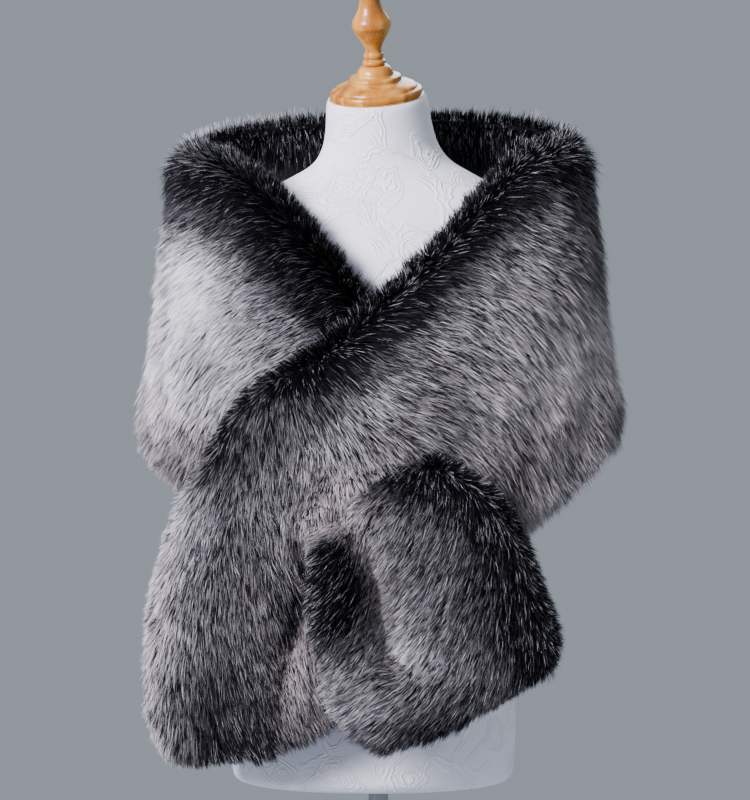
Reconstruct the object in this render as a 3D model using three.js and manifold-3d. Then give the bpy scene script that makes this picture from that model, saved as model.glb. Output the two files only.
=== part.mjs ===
// A long faux fur stole, worn on a limbless dress form. The stole goes round the shoulders, its left
// front lies over its right front, and the end of the right front is pulled out through a slit in the
// left front. Millimetres, +Z up, the front toward -Y, the origin on the floor under the pole's axis.

import * as THREE from 'three';
import { mergeVertices } from 'three/addons/utils/BufferGeometryUtils.js';
import Module from 'manifold-3d';

const wasm = await Module();
wasm.setup();

// Gaps between pieces
const seamGap = 0.3;
const restGap = 0.35;
const sideSeamDegrees = 0.17;
const seamTrim = 0.1;

// The stole: how far in from an edge the pile reaches its full depth, and the band along the upper
// edge where the pile is turned over to the inside, as shares of the width
const rimReach = 24;
const facingFull = 0.06;
const facingEnd = 0.1;
const facingDepth = 12;
const facingFromZ = 830;
const facingToZ = 885;
const liningThick = 1.6;
const liningFromStep = 5;
const liningToStep = 27;
const liningUpperStep = 3;
const liningLowerStep = 12;

// The dress form and its stand
const drapeCentre = 3;
const neckTop = { x: -2, y: 0, z: 933 };
const neckTiltForward = THREE.MathUtils.degToRad(15);
const neckLeanSideways = THREE.MathUtils.degToRad(-4);
const poleRadius = 11;
const poleSides = 24;
const boreDepth = 120;
const torsoBottom = 178;
const baseRadius = 145;
const baseThick = 14;
const bossRadius = 20;
const bossTop = 40;
const baseFloor = 6;

// The body that the stole is draped round: half its width, and its depth in front and behind
const drapeBody = [
  { z: 180, half: 330, front: 108, back: 120 },
  { z: 240, half: 322, front: 114, back: 128 },
  { z: 300, half: 308, front: 120, back: 134 },
  { z: 400, half: 276, front: 128, back: 140 },
  { z: 480, half: 250, front: 132, back: 142 },
  { z: 560, half: 231, front: 134, back: 140 },
  { z: 600, half: 226, front: 134, back: 138 },
  { z: 655, half: 216, front: 131, back: 134 },
  { z: 710, half: 209, front: 120, back: 128 },
  { z: 765, half: 204, front: 102, back: 120 },
  { z: 800, half: 199, front: 84, back: 114 },
  { z: 841, half: 196, front: 64, back: 106 },
  { z: 880, half: 188, front: 52, back: 98 },
  { z: 920, half: 172, front: 42, back: 86 },
];

// Sections across each stretch of the stole, from its upper edge through its middle to its hem.
// Around is the angle in degrees from the centre front, + to the wearer's left. Base is how far the
// section's inner side stands off the draped body, and thick is the pile's depth.
const backSections = [
  { around: 90 + sideSeamDegrees, topZ: 892, hemZ: 566, thick: 40 },
  { around: 120, topZ: 910, hemZ: 558, thick: 40 },
  { around: 150, topZ: 917, hemZ: 548, thick: 40 },
  { around: 180, topZ: 917, hemZ: 542, thick: 40 },
  { around: 210, topZ: 913, hemZ: 546, thick: 40 },
  { around: 240, topZ: 900, hemZ: 552, thick: 40 },
  { around: 270 - sideSeamDegrees, topZ: 882, hemZ: 556, thick: 40 },
].map(uprightSection);

const rightFrontSections = [
  { topAround: -90, topZ: 882, midAround: -90, midZ: 719, hemAround: -90, hemZ: 556, base: 0, thick: 40 },
  { topAround: -72, topZ: 880, midAround: -83, midZ: 712, hemAround: -84, hemZ: 551, base: 0, thick: 40 },
  { topAround: -50, topZ: 869, midAround: -67, midZ: 701, hemAround: -70, hemZ: 534, base: 0, thick: 40 },
  { topAround: -37, topZ: 850, midAround: -53, midZ: 685, hemAround: -58, hemZ: 520, base: 0, thick: 40 },
  { topAround: -28, topZ: 822, midAround: -41, midZ: 664, hemAround: -49, hemZ: 507, base: 0, thick: 38 },
  { topAround: -19, topZ: 788, midAround: -31, midZ: 642, hemAround: -43, hemZ: 497, base: 0, thick: 36 },
  { topAround: -11, topZ: 753, midAround: -24, midZ: 620, hemAround: -38, hemZ: 489, base: 0, thick: 34 },
  { topAround: -3, topZ: 713, midAround: -18, midZ: 597, hemAround: -34, hemZ: 484, base: 0, thick: 28 },
  { topAround: 3, topZ: 666, midAround: -13, midZ: 572, hemAround: -30, hemZ: 481, base: 0, thick: 23 },
  { topAround: 7, topZ: 620, midAround: -10, midZ: 550, hemAround: -26, hemZ: 480, base: 0, thick: 22 },
  { topAround: 8, topZ: 577, midAround: -8, midZ: 528, hemAround: -22, hemZ: 480, base: 0, thick: 22 },
];

const leftFrontSections = [
  { topAround: 90, topZ: 892, midAround: 90, midZ: 729, hemAround: 90, hemZ: 566, base: 0, thick: 40 },
  { topAround: 70, topZ: 890, midAround: 84, midZ: 713, hemAround: 84, hemZ: 560, base: 0, thick: 40 },
  { topAround: 44, topZ: 871, midAround: 62, midZ: 700, hemAround: 68, hemZ: 541, base: 0, thick: 40 },
  { topAround: 32, topZ: 838, midAround: 46, midZ: 675, hemAround: 54, hemZ: 515, base: 0, thick: 38 },
  { topAround: 20, topZ: 794, midAround: 33, midZ: 643, hemAround: 43, hemZ: 490, base: 0, thick: 38 },
  { topAround: 9, topZ: 755, midAround: 23, midZ: 613, hemAround: 34, hemZ: 468, base: 6, thick: 37 },
  { topAround: -2, topZ: 716, midAround: 14, midZ: 581, hemAround: 27, hemZ: 442, base: 14, thick: 36 },
  { topAround: -11, topZ: 683, midAround: 6, midZ: 552, hemAround: 21, hemZ: 418, base: 23, thick: 36 },
  { topAround: -20, topZ: 657, midAround: 0, midZ: 527, hemAround: 16, hemZ: 398, base: 24, thick: 36 },
  { topAround: -29, topZ: 632, midAround: -5, midZ: 506, hemAround: 13, hemZ: 380, base: 24, thick: 36 },
  { topAround: -37, topZ: 598, midAround: -10, midZ: 482, hemAround: 10, hemZ: 365, base: 24, thick: 36 },
  { topAround: -43, topZ: 553, midAround: -14, midZ: 453, hemAround: 7, hemZ: 350, base: 24, thick: 36 },
  { topAround: -48, topZ: 502, midAround: -18, midZ: 421, hemAround: 4, hemZ: 337, base: 24, thick: 36 },
  { topAround: -51, topZ: 445, midAround: -20, midZ: 387, hemAround: 2, hemZ: 325, base: 22, thick: 37 },
  { topAround: -51, topZ: 385, midAround: -22, midZ: 348, hemAround: -1, hemZ: 314, base: 20, thick: 38 },
  { topAround: -49, topZ: 325, midAround: -23, midZ: 305, hemAround: -4, hemZ: 303, base: 17, thick: 38 },
  { topAround: -46, topZ: 266, midAround: -23, midZ: 262, hemAround: -6, hemZ: 292, base: 14, thick: 38 },
  { topAround: -41, topZ: 220, midAround: -25, midZ: 225, hemAround: -10, hemZ: 279, base: 12, thick: 36 },
];

const pulledEndSections = [
  { topAround: 8, topZ: 577, midAround: -8, midZ: 528, hemAround: -22, hemZ: 480, base: 0, thick: 22 },
  { topAround: 10, topZ: 562, midAround: -5, midZ: 515, hemAround: -18, hemZ: 467, base: 22, thick: 26 },
  { topAround: 13, topZ: 550, midAround: -2, midZ: 502, hemAround: -14, hemZ: 452, base: 48, thick: 32 },
  { topAround: 17, topZ: 539, midAround: 1, midZ: 484, hemAround: -12.5, hemZ: 427, base: 60, thick: 34 },
  { topAround: 24, topZ: 505, midAround: 5, midZ: 450, hemAround: -12, hemZ: 394, base: 61, thick: 35 },
  { topAround: 28, topZ: 457, midAround: 7, midZ: 410, hemAround: -11, hemZ: 358, base: 61, thick: 36 },
  { topAround: 30, topZ: 409, midAround: 8, midZ: 354, hemAround: -9, hemZ: 319, base: 60, thick: 37 },
  { topAround: 31, topZ: 375, midAround: 11, midZ: 316, hemAround: -7, hemZ: 288, base: 59, thick: 38 },
  { topAround: 30.5, topZ: 348, midAround: 13, midZ: 292, hemAround: -4, hemZ: 257, base: 57, thick: 38 },
  { topAround: 27, topZ: 327, midAround: 15, midZ: 274, hemAround: 2, hemZ: 236, base: 54, thick: 36 },
];

// The largest folds: each a soft ridge, or a trough where its height is below 0, along a straight line
const leftFrontFolds = [
  { fromAround: -13, fromZ: 455, toAround: -19, toZ: 330, height: -10, reach: 20 },
  { fromAround: 10, fromZ: 590, toAround: -12, toZ: 480, height: 6, reach: 26 },
  { fromAround: 62, fromZ: 640, toAround: 52, toZ: 530, height: -6, reach: 20 },
  { fromAround: 40, fromZ: 700, toAround: 30, toZ: 560, height: 5, reach: 30 },
  { fromAround: -40, fromZ: 500, toAround: -36, toZ: 300, height: 5, reach: 30 },
];
const rightFrontFolds = [
  { fromAround: -70, fromZ: 700, toAround: -62, toZ: 560, height: -6, reach: 22 },
  { fromAround: -45, fromZ: 760, toAround: -60, toZ: 640, height: 5, reach: 28 },
];
const pulledEndFolds = [
  { fromAround: -2, fromZ: 470, toAround: 2, toZ: 330, height: -15, reach: 18 },
  { fromAround: 16, fromZ: 480, toAround: 16, toZ: 330, height: 8, reach: 30 },
];
const backFolds = [
  { fromAround: 160, fromZ: 760, toAround: 152, toZ: 600, height: -5, reach: 24 },
  { fromAround: 205, fromZ: 740, toAround: 214, toZ: 590, height: -5, reach: 24 },
];

// The dress form's torso: half width, depth in front and behind, the section's centre, and how far
// the section's plane has taken up the tilt of the neck's top
const torsoSections = [
  { z: 178, half: 139, front: 88, back: 96, centre: -6, tilt: 0 },
  { z: 182, half: 149, front: 94, back: 103, centre: -6, tilt: 0 },
  { z: 194, half: 155, front: 99, back: 108, centre: -6, tilt: 0 },
  { z: 240, half: 157, front: 100, back: 112, centre: -5.5, tilt: 0 },
  { z: 300, half: 152, front: 98, back: 112, centre: -4.5, tilt: 0 },
  { z: 370, half: 132, front: 88, back: 96, centre: -3.5, tilt: 0 },
  { z: 440, half: 118, front: 82, back: 80, centre: -2.5, tilt: 0 },
  { z: 510, half: 121, front: 90, back: 78, centre: -1.5, tilt: 0 },
  { z: 580, half: 132, front: 112, back: 86, centre: -0.5, tilt: 0 },
  { z: 640, half: 145, front: 126, back: 95, centre: 0.5, tilt: 0 },
  { z: 700, half: 160, front: 114, back: 101, centre: 1.5, tilt: 0 },
  { z: 750, half: 178, front: 98, back: 100, centre: 2.5, tilt: 0 },
  { z: 785, half: 196, front: 84, back: 92, centre: 3, tilt: 0 },
  { z: 803, half: 202, front: 75, back: 85, centre: 3, tilt: 0 },
  { z: 817, half: 188, front: 66, back: 78, centre: 3.5, tilt: 0 },
  { z: 828, half: 152, front: 57, back: 72, centre: 4.5, tilt: 0.05 },
  { z: 837, half: 120, front: 52, back: 67, centre: 5.5, tilt: 0.1 },
  { z: 848, half: 97, front: 49, back: 63, centre: 5.5, tilt: 0.2 },
  { z: 861, half: 76, front: 48, back: 60, centre: 4, tilt: 0.35 },
  { z: 878, half: 64, front: 48, back: 58, centre: 2, tilt: 0.55 },
  { z: 899, half: 58.5, front: 50, back: 57, centre: 0.5, tilt: 0.8 },
  { z: 926, half: 55.5, front: 53, back: 56, centre: -1.5, tilt: 1 },
  { z: 933, half: 53, front: 51, back: 54, centre: -2, tilt: 1 },
];

// Turned profiles of the neck's wooden cap and finial: distance from the axis and height
const capProfile = [
  [0, 0], [47.5, 0], [50.2, 1], [51, 4], [50.2, 7], [48, 8.5], [46, 8.8], [45, 10.5], [43, 12.5],
  [37, 15], [29.5, 17], [28.5, 18.5], [28.5, 21.5], [27, 23], [21, 24], [19.8, 27], [18, 31], [13, 35],
  [0, 35],
];
const finialProfile = [
  [0, 0], [10, 0], [12.4, 1.5], [12.6, 4.5], [10.5, 6], [10, 7.5], [10.8, 9], [10.8, 12], [9.4, 14],
  [9, 17], [10.5, 22], [14.5, 29], [18.5, 36], [21.2, 42], [21.4, 44], [20.8, 49], [18, 54], [14.5, 60],
  [12.2, 66], [11, 73], [11.5, 79], [11.2, 84], [8.5, 88.5], [4, 91], [0, 91.5],
];
const capHeight = 35;

const furMaterial = new THREE.MeshStandardMaterial({ color: 0x6b686d, roughness: 0.95, metalness: 0 });
const darkFurMaterial = new THREE.MeshStandardMaterial({ color: 0x3c3a40, roughness: 0.95, metalness: 0 });
const satinMaterial = new THREE.MeshStandardMaterial({ color: 0x17161a, roughness: 0.4, metalness: 0 });
const fabricMaterial = new THREE.MeshStandardMaterial({ color: 0xe4e4ea, roughness: 0.8, metalness: 0 });
const woodMaterial = new THREE.MeshStandardMaterial({ color: 0xc98c4e, roughness: 0.35, metalness: 0 });
const steelMaterial = new THREE.MeshStandardMaterial({ color: 0x8d9096, roughness: 0.25, metalness: 1 });

function uprightSection({ around, topZ, hemZ, thick }) {
  const midZ = (topZ + hemZ) / 2;
  return { topAround: around, topZ, midAround: around, midZ, hemAround: around, hemZ, base: 0, thick };
}

// A smooth curve through four evenly spaced values, from the second to the third
function catmullRom(before, start, end, after, share) {
  const slopeStart = (end - before) / 2;
  const slopeEnd = (after - start) / 2;
  const square = share * share;
  const cube = square * share;
  return (
    (2 * cube - 3 * square + 1) * start +
    (cube - 2 * square + share) * slopeStart +
    (3 * square - 2 * cube) * end +
    (cube - square) * slopeEnd
  );
}

// The row of a table at a fractional place, every column on a smooth curve
function rowAt(rows, place) {
  const last = rows.length - 1;
  const index = Math.min(Math.floor(place), last - 1);
  const pick = (offset) => rows[Math.min(Math.max(index + offset, 0), last)];
  const [before, start, end, after] = [-1, 0, 1, 2].map(pick);
  const row = {};
  for (const column of Object.keys(start)) {
    row[column] = catmullRom(before[column], start[column], end[column], after[column], place - index);
  }
  return row;
}

// The fractional place of a height in a table that is sorted by height
function placeOfHeight(rows, z) {
  const last = rows.length - 1;
  const above = rows.findIndex((row) => row.z > z);
  const index = above < 0 ? last - 1 : Math.max(above - 1, 0);
  const share = (z - rows[index].z) / (rows[index + 1].z - rows[index].z);
  return index + Math.min(Math.max(share, 0), 1);
}

// A point that stands off the draped body by lift, at an angle from the centre front and a height
function drapePoint(around, z, lift) {
  const body = rowAt(drapeBody, placeOfHeight(drapeBody, z));
  const angle = THREE.MathUtils.degToRad(around);
  const depth = Math.cos(angle) > 0 ? body.front : body.back;
  return new THREE.Vector3(
    drapeCentre + (body.half + lift) * Math.sin(angle),
    -(depth + lift) * Math.cos(angle),
    z,
  );
}

// The curve through the upper edge, the middle and the hem, at a share of the width
function across(top, mid, hem, share) {
  return (
    top * (1 - share) * (1 - 2 * share) +
    mid * 4 * share * (1 - share) +
    hem * share * (2 * share - 1)
  );
}

// A rounded rim: 0 at the edge, 1 from rimReach inward
function rim(distance) {
  const inward = Math.min(Math.max(distance / rimReach, 0), 1);
  return Math.sqrt(1 - (1 - inward) ** 2);
}

// The height of all folds at a place: each falls off sideways from its line as a bell curve
function foldHeight(folds, around, z) {
  const mmPerDegree = 3.4;
  const place = new THREE.Vector3(around * mmPerDegree, z, 0);
  const nearest = new THREE.Vector3();
  let height = 0;
  for (const fold of folds) {
    const line = new THREE.Line3(
      new THREE.Vector3(fold.fromAround * mmPerDegree, fold.fromZ, 0),
      new THREE.Vector3(fold.toAround * mmPerDegree, fold.toZ, 0),
    );
    line.closestPointToPoint(place, true, nearest);
    height += fold.height * Math.exp(-((nearest.distanceTo(place) / fold.reach) ** 2));
  }
  return height;
}

// What a free end has: steps that crowd toward it, and a rounded rim
const freeEnd = { crowding: 1.6, roundEnd: true };

// The net of a stretch: for each step along and across, the angle, the height, and the lifts of the
// pile's outer and inner side. Steps crowd toward the long edges, and toward a free end.
function stretchNet({ rows, folds, stepsAlong, stepsAcross, crowding = 1, roundEnd = false, trim = 0 }) {
  const lastRow = rows.length - 1 - trim;
  const sections = [];
  for (let i = 0; i <= stepsAlong; i++) {
    const left = (1 - i / stepsAlong) ** crowding;
    sections.push(rowAt(rows, lastRow * (1 - left)));
  }
  const middles = sections.map((row) => drapePoint(row.midAround, row.midZ, row.base));
  const toEnd = middles.map(() => Infinity);
  if (roundEnd) {
    toEnd[stepsAlong] = 0;
    for (let i = stepsAlong - 1; i >= 0; i--) {
      toEnd[i] = toEnd[i + 1] + middles[i].distanceTo(middles[i + 1]);
    }
  }
  return sections.map((row, i) => {
    const top = drapePoint(row.topAround, row.topZ, row.base);
    const hem = drapePoint(row.hemAround, row.hemZ, row.base);
    const width = top.distanceTo(middles[i]) + middles[i].distanceTo(hem);
    const facing = facingDepth * THREE.MathUtils.smoothstep(row.topZ, facingFromZ, facingToZ);
    const points = [];
    for (let j = 0; j <= stepsAcross; j++) {
      const share = (1 - Math.cos((Math.PI * j) / stepsAcross)) / 2;
      const around = across(row.topAround, row.midAround, row.hemAround, share);
      const z = across(row.topZ, row.midZ, row.hemZ, share);
      const full = rim(Math.min(share, 1 - share) * width) * rim(toEnd[i]);
      const turnedOver = 1 - THREE.MathUtils.smoothstep(share, facingFull, facingEnd);
      const middle = row.base + row.thick / 2;
      const outer = middle + (row.thick / 2 + foldHeight(folds, around, z)) * full;
      const inner = middle - (row.thick / 2 + facing * turnedOver) * full;
      points.push({ around, z, outer, inner });
    }
    return points;
  });
}

// A closed wall between two layers of points over one net. The layers share a point wherever they
// meet, so rims close by themselves, and the seam ends are closed by flat strips.
function wallBetween(nearLayer, farLayer) {
  const stepsAlong = nearLayer.length - 1;
  const stepsAcross = nearLayer[0].length - 1;
  const positions = [];
  for (const layer of [nearLayer, farLayer]) {
    for (const point of layer.flat()) {
      positions.push(point.x, point.y, point.z);
    }
  }
  const layerSize = (stepsAlong + 1) * (stepsAcross + 1);
  const near = (i, j) => i * (stepsAcross + 1) + j;
  const far = (i, j) => layerSize + near(i, j);
  const triangles = [];
  const quad = (a, b, c, d) => triangles.push(a, b, c, a, c, d);
  for (let i = 0; i < stepsAlong; i++) {
    for (let j = 0; j < stepsAcross; j++) {
      quad(near(i, j), near(i + 1, j), near(i + 1, j + 1), near(i, j + 1));
      quad(far(i, j), far(i, j + 1), far(i + 1, j + 1), far(i + 1, j));
    }
    quad(near(i, 0), far(i, 0), far(i + 1, 0), near(i + 1, 0));
    quad(near(i, stepsAcross), near(i + 1, stepsAcross), far(i + 1, stepsAcross), far(i, stepsAcross));
  }
  for (let j = 0; j < stepsAcross; j++) {
    quad(near(0, j), near(0, j + 1), far(0, j + 1), far(0, j));
    quad(near(stepsAlong, j), far(stepsAlong, j), far(stepsAlong, j + 1), near(stepsAlong, j + 1));
  }
  return closedGeometry(positions, triangles);
}

// A merged geometry without flat triangles, its faces pointing out
function closedGeometry(positions, triangles) {
  const loose = new THREE.BufferGeometry();
  loose.setAttribute('position', new THREE.Float32BufferAttribute(positions, 3));
  loose.setIndex(triangles);
  const merged = mergeVertices(loose, 1e-3);
  const corners = merged.index.array;
  const kept = [];
  for (let k = 0; k < corners.length; k += 3) {
    const [a, b, c] = [corners[k], corners[k + 1], corners[k + 2]];
    if (a !== b && b !== c && c !== a) {
      kept.push(a, b, c);
    }
  }
  if (signedVolume(merged.attributes.position, kept) < 0) {
    kept.reverse();
  }
  merged.setIndex(kept);
  return merged;
}

function signedVolume(position, triangles) {
  const [a, b, c] = [new THREE.Vector3(), new THREE.Vector3(), new THREE.Vector3()];
  let volume = 0;
  for (let k = 0; k < triangles.length; k += 3) {
    a.fromBufferAttribute(position, triangles[k]);
    b.fromBufferAttribute(position, triangles[k + 1]);
    c.fromBufferAttribute(position, triangles[k + 2]);
    volume += a.dot(b.cross(c)) / 6;
  }
  return volume;
}

function layerOf(net, liftOf) {
  return net.map((points) => points.map((point) => drapePoint(point.around, point.z, liftOf(point))));
}

function pileWall(net) {
  return wallBetween(layerOf(net, (point) => point.outer), layerOf(net, (point) => point.inner));
}

// The satin lining: a thin wall made from the back stretch's inner points, moved in
function liningWall(net) {
  const panel = net
    .slice(liningFromStep, liningToStep + 1)
    .map((points) => points.slice(liningUpperStep, liningLowerStep + 1));
  return wallBetween(
    layerOf(panel, (point) => point.inner - seamGap),
    layerOf(panel, (point) => point.inner - seamGap - liningThick),
  );
}

// A closed body through level rings, from the lowest to the highest
function ringBody(rings, sides) {
  const positions = [];
  for (const ring of rings) {
    for (let k = 0; k < sides; k++) {
      const angle = (2 * Math.PI * k) / sides;
      const depth = Math.cos(angle) > 0 ? ring.front : ring.back;
      const x = ring.half * Math.sin(angle);
      const y = -depth * Math.cos(angle);
      const forward = y * Math.tan(neckTiltForward);
      const sideways = -x * Math.tan(neckLeanSideways);
      positions.push(ring.centre + x, y, ring.z + ring.tilt * (forward + sideways));
    }
  }
  const lowest = rings[0];
  const highest = rings[rings.length - 1];
  positions.push(lowest.centre, 0, lowest.z, highest.centre, 0, highest.z);
  const lastRing = (rings.length - 1) * sides;
  const bottom = lastRing + sides;
  const top = bottom + 1;
  const triangles = [];
  for (let k = 0; k < sides; k++) {
    const next = (k + 1) % sides;
    for (let r = 0; r < rings.length - 1; r++) {
      const [a, b] = [r * sides + k, r * sides + next];
      const [c, d] = [b + sides, a + sides];
      triangles.push(a, b, c, a, c, d);
    }
    triangles.push(bottom, next, k, top, lastRing + k, lastRing + next);
  }
  return closedGeometry(positions, triangles);
}

// Every point moved out along its normal, for a cut that leaves a gap
function grown(geometry, distance) {
  const larger = geometry.clone();
  larger.computeVertexNormals();
  const { position, normal } = larger.attributes;
  for (let k = 0; k < position.count; k++) {
    position.setXYZ(
      k,
      position.getX(k) + distance * normal.getX(k),
      position.getY(k) + distance * normal.getY(k),
      position.getZ(k) + distance * normal.getZ(k),
    );
  }
  larger.deleteAttribute('normal');
  return larger;
}

function toSolid(geometry) {
  const bare = new THREE.BufferGeometry();
  bare.setAttribute('position', geometry.attributes.position.clone());
  bare.setIndex(Array.from(geometry.index.array));
  const merged = mergeVertices(bare, 1e-4);
  return new wasm.Manifold(
    new wasm.Mesh({
      numProp: 3,
      vertProperties: new Float32Array(merged.attributes.position.array),
      triVerts: new Uint32Array(merged.index.array),
    }),
  );
}

function toGeometry(solid) {
  const mesh = solid.getMesh();
  const geometry = new THREE.BufferGeometry();
  geometry.setAttribute('position', new THREE.Float32BufferAttribute(mesh.vertProperties, 3));
  geometry.setIndex(Array.from(mesh.triVerts));
  return geometry;
}

// A piece with its neighbours cut out of it, so that it lies on them with a small gap
function clearOf(geometry, neighbours) {
  let solid = toSolid(geometry);
  for (const neighbour of neighbours) {
    solid = solid.subtract(toSolid(grown(neighbour, restGap)));
  }
  return toGeometry(solid);
}

function turned(profile, sides) {
  return new THREE.LatheGeometry(
    profile.map(([radius, height]) => new THREE.Vector2(radius, height)),
    sides,
  ).rotateX(Math.PI / 2);
}

function named(name, geometry, material) {
  const mesh = new THREE.Mesh(geometry, material);
  mesh.name = name;
  return mesh;
}

// The dress form: a torso on a pole, with a bore that the pole goes into
function makeTorso() {
  const body = toSolid(ringBody(torsoSections, 36));
  const runOut = 20;
  const boreLength = boreDepth + runOut;
  const boreRadius = poleRadius + seamGap;
  const bore = new THREE.CylinderGeometry(boreRadius, boreRadius, boreLength, poleSides)
    .rotateX(Math.PI / 2)
    .translate(0, 0, torsoBottom - runOut + boreLength / 2);
  return toGeometry(body.subtract(toSolid(bore)));
}

function makePole() {
  const bottom = baseFloor + seamGap;
  const top = torsoBottom + boreDepth - seamGap;
  return new THREE.CylinderGeometry(poleRadius, poleRadius, top - bottom, poleSides)
    .rotateX(Math.PI / 2)
    .translate(0, 0, (bottom + top) / 2);
}

function makeBase() {
  const bore = poleRadius + seamGap;
  const profile = [
    [0, 0], [baseRadius - 2, 0], [baseRadius, 2], [baseRadius, baseThick - 6],
    [baseRadius - 6, baseThick - 1.5], [baseRadius - 20, baseThick],
    [bossRadius + 6, baseThick + 3], [bossRadius, baseThick + 8],
    [bossRadius, bossTop - 2], [bossRadius - 2, bossTop], [bore, bossTop], [bore, baseFloor], [0, baseFloor],
  ];
  return turned(profile, 40);
}

function makeStole(torso) {
  const backNet = stretchNet({ rows: backSections, folds: backFolds, stepsAlong: 32, stepsAcross: 14 });
  const rightFront = pileWall(
    stretchNet({
      rows: rightFrontSections,
      folds: rightFrontFolds,
      stepsAlong: 24,
      stepsAcross: 12,
      trim: seamTrim,
    }),
  );
  const leftFront = pileWall(
    stretchNet({
      rows: leftFrontSections,
      folds: leftFrontFolds,
      stepsAlong: 40,
      stepsAcross: 16,
      ...freeEnd,
    }),
  );
  const pulledEnd = pileWall(
    stretchNet({
      rows: pulledEndSections,
      folds: pulledEndFolds,
      stepsAlong: 24,
      stepsAcross: 16,
      ...freeEnd,
    }),
  );
  return [
    named('back_collar', clearOf(pileWall(backNet), [torso]), darkFurMaterial),
    named('back_lining', clearOf(liningWall(backNet), [torso]), satinMaterial),
    named('right_front', clearOf(rightFront, [torso]), furMaterial),
    named('left_front', clearOf(leftFront, [torso, rightFront, pulledEnd]), furMaterial),
    named('pulled_end', pulledEnd, furMaterial),
  ];
}

function makeNeckTop() {
  const top = new THREE.Group();
  const cap = named('neck_cap', turned(capProfile, 36).translate(0, 0, seamGap), woodMaterial);
  const finialFoot = capHeight + 2 * seamGap;
  const finial = named('finial', turned(finialProfile, 24).translate(0, 0, finialFoot), woodMaterial);
  top.add(cap, finial);
  top.position.set(neckTop.x, neckTop.y, neckTop.z);
  top.rotation.set(neckTiltForward, neckLeanSideways, 0);
  return top;
}

const torso = makeTorso();
const group = new THREE.Group();
group.add(
  named('form_torso', torso, fabricMaterial),
  makeNeckTop(),
  named('pole', makePole(), steelMaterial),
  named('base_disc', makeBase(), steelMaterial),
  ...makeStole(torso),
);

export default group;
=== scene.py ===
# %% [markdown]
# A long faux fur stole is worn round the shoulders of a dress form. Its left front lies over its
# right front, and the end of the right front is pulled out through a slit in the left front.
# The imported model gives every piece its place, so it is loaded first and its box is kept: the
# looks that follow have to stay within it. All lengths in the tables below are millimetres.

import math

import bpy
import numpy as np
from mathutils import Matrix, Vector


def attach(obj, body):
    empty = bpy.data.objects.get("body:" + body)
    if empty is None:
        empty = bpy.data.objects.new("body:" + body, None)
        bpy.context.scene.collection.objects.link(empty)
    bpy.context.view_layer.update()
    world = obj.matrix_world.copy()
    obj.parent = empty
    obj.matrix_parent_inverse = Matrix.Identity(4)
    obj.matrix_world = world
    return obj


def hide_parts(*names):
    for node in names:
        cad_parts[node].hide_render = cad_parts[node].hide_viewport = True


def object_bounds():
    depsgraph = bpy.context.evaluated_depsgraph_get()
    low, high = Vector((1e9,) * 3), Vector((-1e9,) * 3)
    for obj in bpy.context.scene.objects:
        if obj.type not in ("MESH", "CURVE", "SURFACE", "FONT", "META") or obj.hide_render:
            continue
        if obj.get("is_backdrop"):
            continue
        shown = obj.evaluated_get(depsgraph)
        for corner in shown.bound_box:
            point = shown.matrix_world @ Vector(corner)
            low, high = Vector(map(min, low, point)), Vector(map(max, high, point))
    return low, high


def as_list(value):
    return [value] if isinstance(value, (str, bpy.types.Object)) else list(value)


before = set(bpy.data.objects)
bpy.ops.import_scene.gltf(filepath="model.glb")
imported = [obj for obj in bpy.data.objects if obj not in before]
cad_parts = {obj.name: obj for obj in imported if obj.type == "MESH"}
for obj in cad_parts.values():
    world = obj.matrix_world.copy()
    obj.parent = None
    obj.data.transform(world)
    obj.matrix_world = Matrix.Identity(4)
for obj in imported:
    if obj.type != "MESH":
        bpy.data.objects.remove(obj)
cad_low, cad_high = (list(corner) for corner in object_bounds())
MM = 0.001
print("nodes:", ", ".join(sorted(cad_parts)))

# %% [markdown]
# Every shape here is a sheet of points worked out with numpy. Such shapes could also be modelled
# by hand or with many modifiers, but a formula is easy to read and to change. A sheet becomes a
# mesh through one helper, which drops triangles that have closed up to a line, leaves out points
# that nothing uses, and turns a closed shape right side out by the sign of its volume.

# %% From points to a mesh


def grid_triangles(rows, columns, around=False):
    """Two triangles for each square of a grid of points, row by row. Around joins the last
    column to the first."""
    across = columns if around else columns - 1
    row, column = np.meshgrid(np.arange(rows - 1), np.arange(across), indexing="ij")
    following = (column + 1) % columns
    a = (row * columns + column).ravel()
    b = (row * columns + following).ravel()
    c = b + columns
    d = a + columns
    return np.concatenate([np.stack([a, b, c], 1), np.stack([a, c, d], 1)])


def signed_volume(points, triangles):
    """A sixth of the sum, over all triangles, of the box product of their three corners."""
    a, b, c = (points[triangles[:, k]] for k in range(3))
    return np.einsum("ij,ij->i", a, np.cross(b, c)).sum() / 6


def make_mesh(name, points, triangles, corner_uv=None, closed=True):
    """A smooth mesh object at the origin. Corner_uv holds one place on the map for each point."""
    a, b, c = triangles.T
    triangles = triangles[(a != b) & (b != c) & (c != a)]
    used, triangles = np.unique(triangles, return_inverse=True)
    triangles = triangles.reshape(-1, 3)
    points = points[used]
    if closed and signed_volume(points, triangles) < 0:
        triangles = triangles[:, ::-1]
    mesh = bpy.data.meshes.new(name)
    mesh.vertices.add(len(points))
    mesh.vertices.foreach_set("co", points.astype(np.float32).ravel())
    mesh.loops.add(triangles.size)
    mesh.loops.foreach_set("vertex_index", triangles.astype(np.int32).ravel())
    mesh.polygons.add(len(triangles))
    mesh.polygons.foreach_set("loop_start", np.arange(0, triangles.size, 3, dtype=np.int32))
    mesh.polygons.foreach_set("use_smooth", np.ones(len(triangles), dtype=bool))
    if corner_uv is not None:
        layer = mesh.uv_layers.new(name="OFBake")
        layer.data.foreach_set("uv", corner_uv[used][triangles.ravel()].astype(np.float32).ravel())
    mesh.update(calc_edges=True)
    mesh.validate()
    piece = bpy.data.objects.new(name, mesh)
    bpy.context.scene.collection.objects.link(piece)
    print(f"{name}: {len(points)} points, {len(triangles)} triangles")
    return piece


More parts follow.
